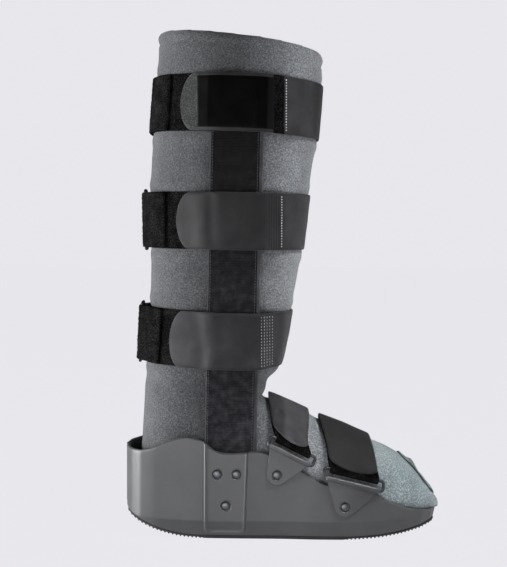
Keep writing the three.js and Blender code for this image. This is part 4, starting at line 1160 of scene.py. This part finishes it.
def makeFootStrap(key, strap):
    tapePiece("foot_tape_" + key, lambda a: footMainPath(strap, a), 16, strapWeave, "strap_tape",
              "foot_strap_" + key, lambda across, lift, p: 0.12 * noise.noise(p / 12))
    tapePiece("foot_pile_" + key, lambda a: footLoopPath(strap, a), 30, loopPile, "loop_tape",
              "foot_loop_" + key, pileRelief)
    back, front, along, up = barLine(strap)[:4]
    middle = (back + front) / 2 + up * (footRing["span"] / 2)
    loop = roundedLoop(middle, along * ((front - back).length / 2 + ring["reach"]),
                       up * (footRing["span"] / 2), 2.4)
    for word, side in sides.items():
        name = "foot_ring_%s_%s" % (key, word)
        wirePiece(name, [onSide(p, side) for p in loop], footRing["wire"], name)


# The edge of a plate, in steps: round the rivet and straight to both ends of the roll.
def plateBorder(strap):
    x, z = strap["rivet"]
    turns = [math.pi * k / 24 for k in range(48)]
    outline = [Vector(p) for p in tightOutline(
        [strap["rollBack"], strap["rollFront"]]
        + [(x + plate["end"] * math.cos(a), z + plate["end"] * math.sin(a)) for a in turns])]
    border = []
    for a, b in zip(outline, outline[1:] + outline[:1]):
        steps = max(1, int((b - a).length / 1.2))
        border += [a.lerp(b, k / steps) for k in range(steps)]
    return border, sum(outline, Vector((0, 0))) / len(outline)


# The plate is a sheet that follows the wall, rounded at its edges, rolled over the ring at the top.
def makePlate(key, strap, word, side):
    border, centre = plateBorder(strap)
    thick, roll = plate["thick"], plate["roll"]

    def wall(q, lift):
        return Vector((q.x, side * (shellHalf(q.x) + fit + lift), q.y))
    rings = [[wall(p + (centre - p).normalized() * inset, lift) for p in border] for inset, lift in
             ((0.5, 0.0), (0.0, 0.45), (0.0, thick - 0.6), (0.25, thick - 0.18), (0.8, thick))]
    for share in spread(0, 1, 12)[1:-1]:
        rings.append([wall(p.lerp(centre, share) + (centre - p).normalized() * 0.8 * (1 - share), thick)
                      for p in border])
    piece = looseObject("plate", *loftFaces(rings))
    back, front, along = barLine(strap)[:3]
    length = (front - back).length
    outward = (Vector((0, 1, 0)) - along * along.y).normalized()
    third = along.cross(outward).normalized()

    def tube(rows, around):
        return loftFaces([[onSide(back + along * place + outward * (radius * c) + third * (radius * s), side)
                           for c, s in circle(around)] for place, radius in rows])
    ends = [(0, roll - 0.5), (0.35, roll - 0.1), (0.9, roll)]
    rows = ends + [(length * k / 10, roll) for k in range(1, 10)] + [(length - at, r) for at, r in ends[::-1]]
    combine(piece, looseObject("roll", *tube(rows, 28)), "UNION")
    bore = footRing["wire"] + fit
    combine(piece, looseObject("bore", *tube([(-2, bore), (length + 2, bore)], 20)), "DIFFERENCE")
    x, z = strap["rivet"]
    face = shellHalf(x) + fit + thick
    cutDish(piece, x, z, face, side)
    finishPiece(piece, platePlastic, "plate_plastic", "plate_%s_%s" % (key, word), 35)
    makeRivet("plate_rivet_%s_%s" % (key, word), x, z, face, side)


def makeRivet(name, x, z, face, side):
    base = face - rivet["depth"] + fit
    profile = [(0.02, 0), (0.9, 0)] + [(max(math.cos(a), 0.02), math.sin(a))
                                       for a in spread(0, math.pi / 2, 10)[:-1]]
    rows = [(rivet["radius"] * r, base + rivet["high"] * h) for r, h in profile]
    return meshPiece(name, *loftFaces(discRings(x, z, rows, side, 36)), rivetSteel, "rivet_metal", name, 50)


for key, strap in footStraps.items():
    makeFootStrap(key, strap)
for key, strap in footStraps.items():
    for word, side in sides.items():
        makePlate(key, strap, word, side)
for i, (x, z) in enumerate(panelRivets):
    for word, side in sides.items():
        makeRivet("panel_rivet_%s_%d" % (word, i + 1), x, z, shellHalf(x) + body["panelRise"], side)
print("foot straps, plates and rivets made")

# Floor, light and camera

studio = {"backdrop": "E8E7EC", "glow": 1.01, "paper": 0.02, "above": 0.11, "below": 0.78, "radius": 5000}
lamps = [  # name, place, aim, size, power, cone
    ("left", (-1.2, -0.1, 0.12), (-0.05, 0, 0.1), (0.6, 0.8), 34, 180),
    ("right", (1.1, -0.3, 0.35), (0.05, 0, 0.2), (0.7, 0.9), 2.4, 180),
    ("top", (0.45, -0.3, 0.85), (0.12, 0, 0.06), (0.35, 0.35), 0.34, 28),
    ("front", (-0.2, -0.8, 0.02), (0, 0, 0.03), (0.8, 0.4), 3, 180),
]


# A pale floor and a dome of the same paper, lit evenly: neither throws light back on the boot.
def makeFloor():
    profile = [(studio["radius"] * math.cos(a), studio["radius"] * math.sin(a))
               for a in spread(0, math.pi / 2, 12)[:-1]]
    floor = looseObject("floor", *loftFaces([[Vector((out * c, out * s, up)) for c, s in circle(48)]
                                             for out, up in profile]))
    made, tree = newMaterial("backdrop paper")
    shade = linear(studio["backdrop"])
    glow = node(tree, "Emission", {"Color": shade, "Strength": studio["glow"]})
    paper = node(tree, "BsdfDiffuse", {"Color": shade})
    both = node(tree, "MixShader", {0: studio["paper"], 1: glow.outputs[0], 2: paper.outputs[0]})
    node(tree, "OutputMaterial", {"Surface": both.outputs[0]})
    floor.data.materials.append(made)
    floor.visible_diffuse = False
    floor.visible_glossy = False


def softLight(name, place, aim, size, watts, cone):
    data = bpy.data.lights.new(name, "AREA")
    data.shape = "RECTANGLE"
    data.size, data.size_y = size
    data.energy = watts
    data.spread = math.radians(cone)
    light = bpy.data.objects.new(name, data)
    light.location = place
    light.rotation_euler = (Vector(aim) - Vector(place)).to_track_quat("-Z", "Y").to_euler()
    light.visible_camera = False
    bpy.context.scene.collection.objects.link(light)


makeFloor()
for lamp in lamps:
    softLight(*lamp)
world = bpy.data.worlds.new("studio")  # brighter below the horizon, as over white paper
world.use_nodes = True
sky = world.node_tree
sky.nodes.clear()
height = node(sky, "SeparateXYZ", {"Vector": node(sky, "TexCoord").outputs["Generated"]}).outputs["Z"]
air = node(sky, "Background", {"Color": linear(studio["backdrop"]),
                               "Strength": ranged(sky, height, -0.3, 0.1, studio["below"], studio["above"])})
node(sky, "OutputWorld", {"Surface": air.outputs[0]})
bpy.context.scene.world = world
bpy.context.scene.view_settings.view_transform = "Standard"

lens = bpy.data.cameras.new("camera")
lens.sensor_fit = "VERTICAL"
lens.sensor_height = 36
lens.lens = 61.7
lens.shift_y = -0.1108
lens.clip_end = 20
camera = bpy.data.objects.new("camera", lens)
camera.location = (0.0218, -0.9, 0.28)
camera.rotation_euler = (math.pi / 2, 0, 0)
bpy.context.scene.collection.objects.link(camera)
bpy.context.scene.camera = camera

print("scene ready")
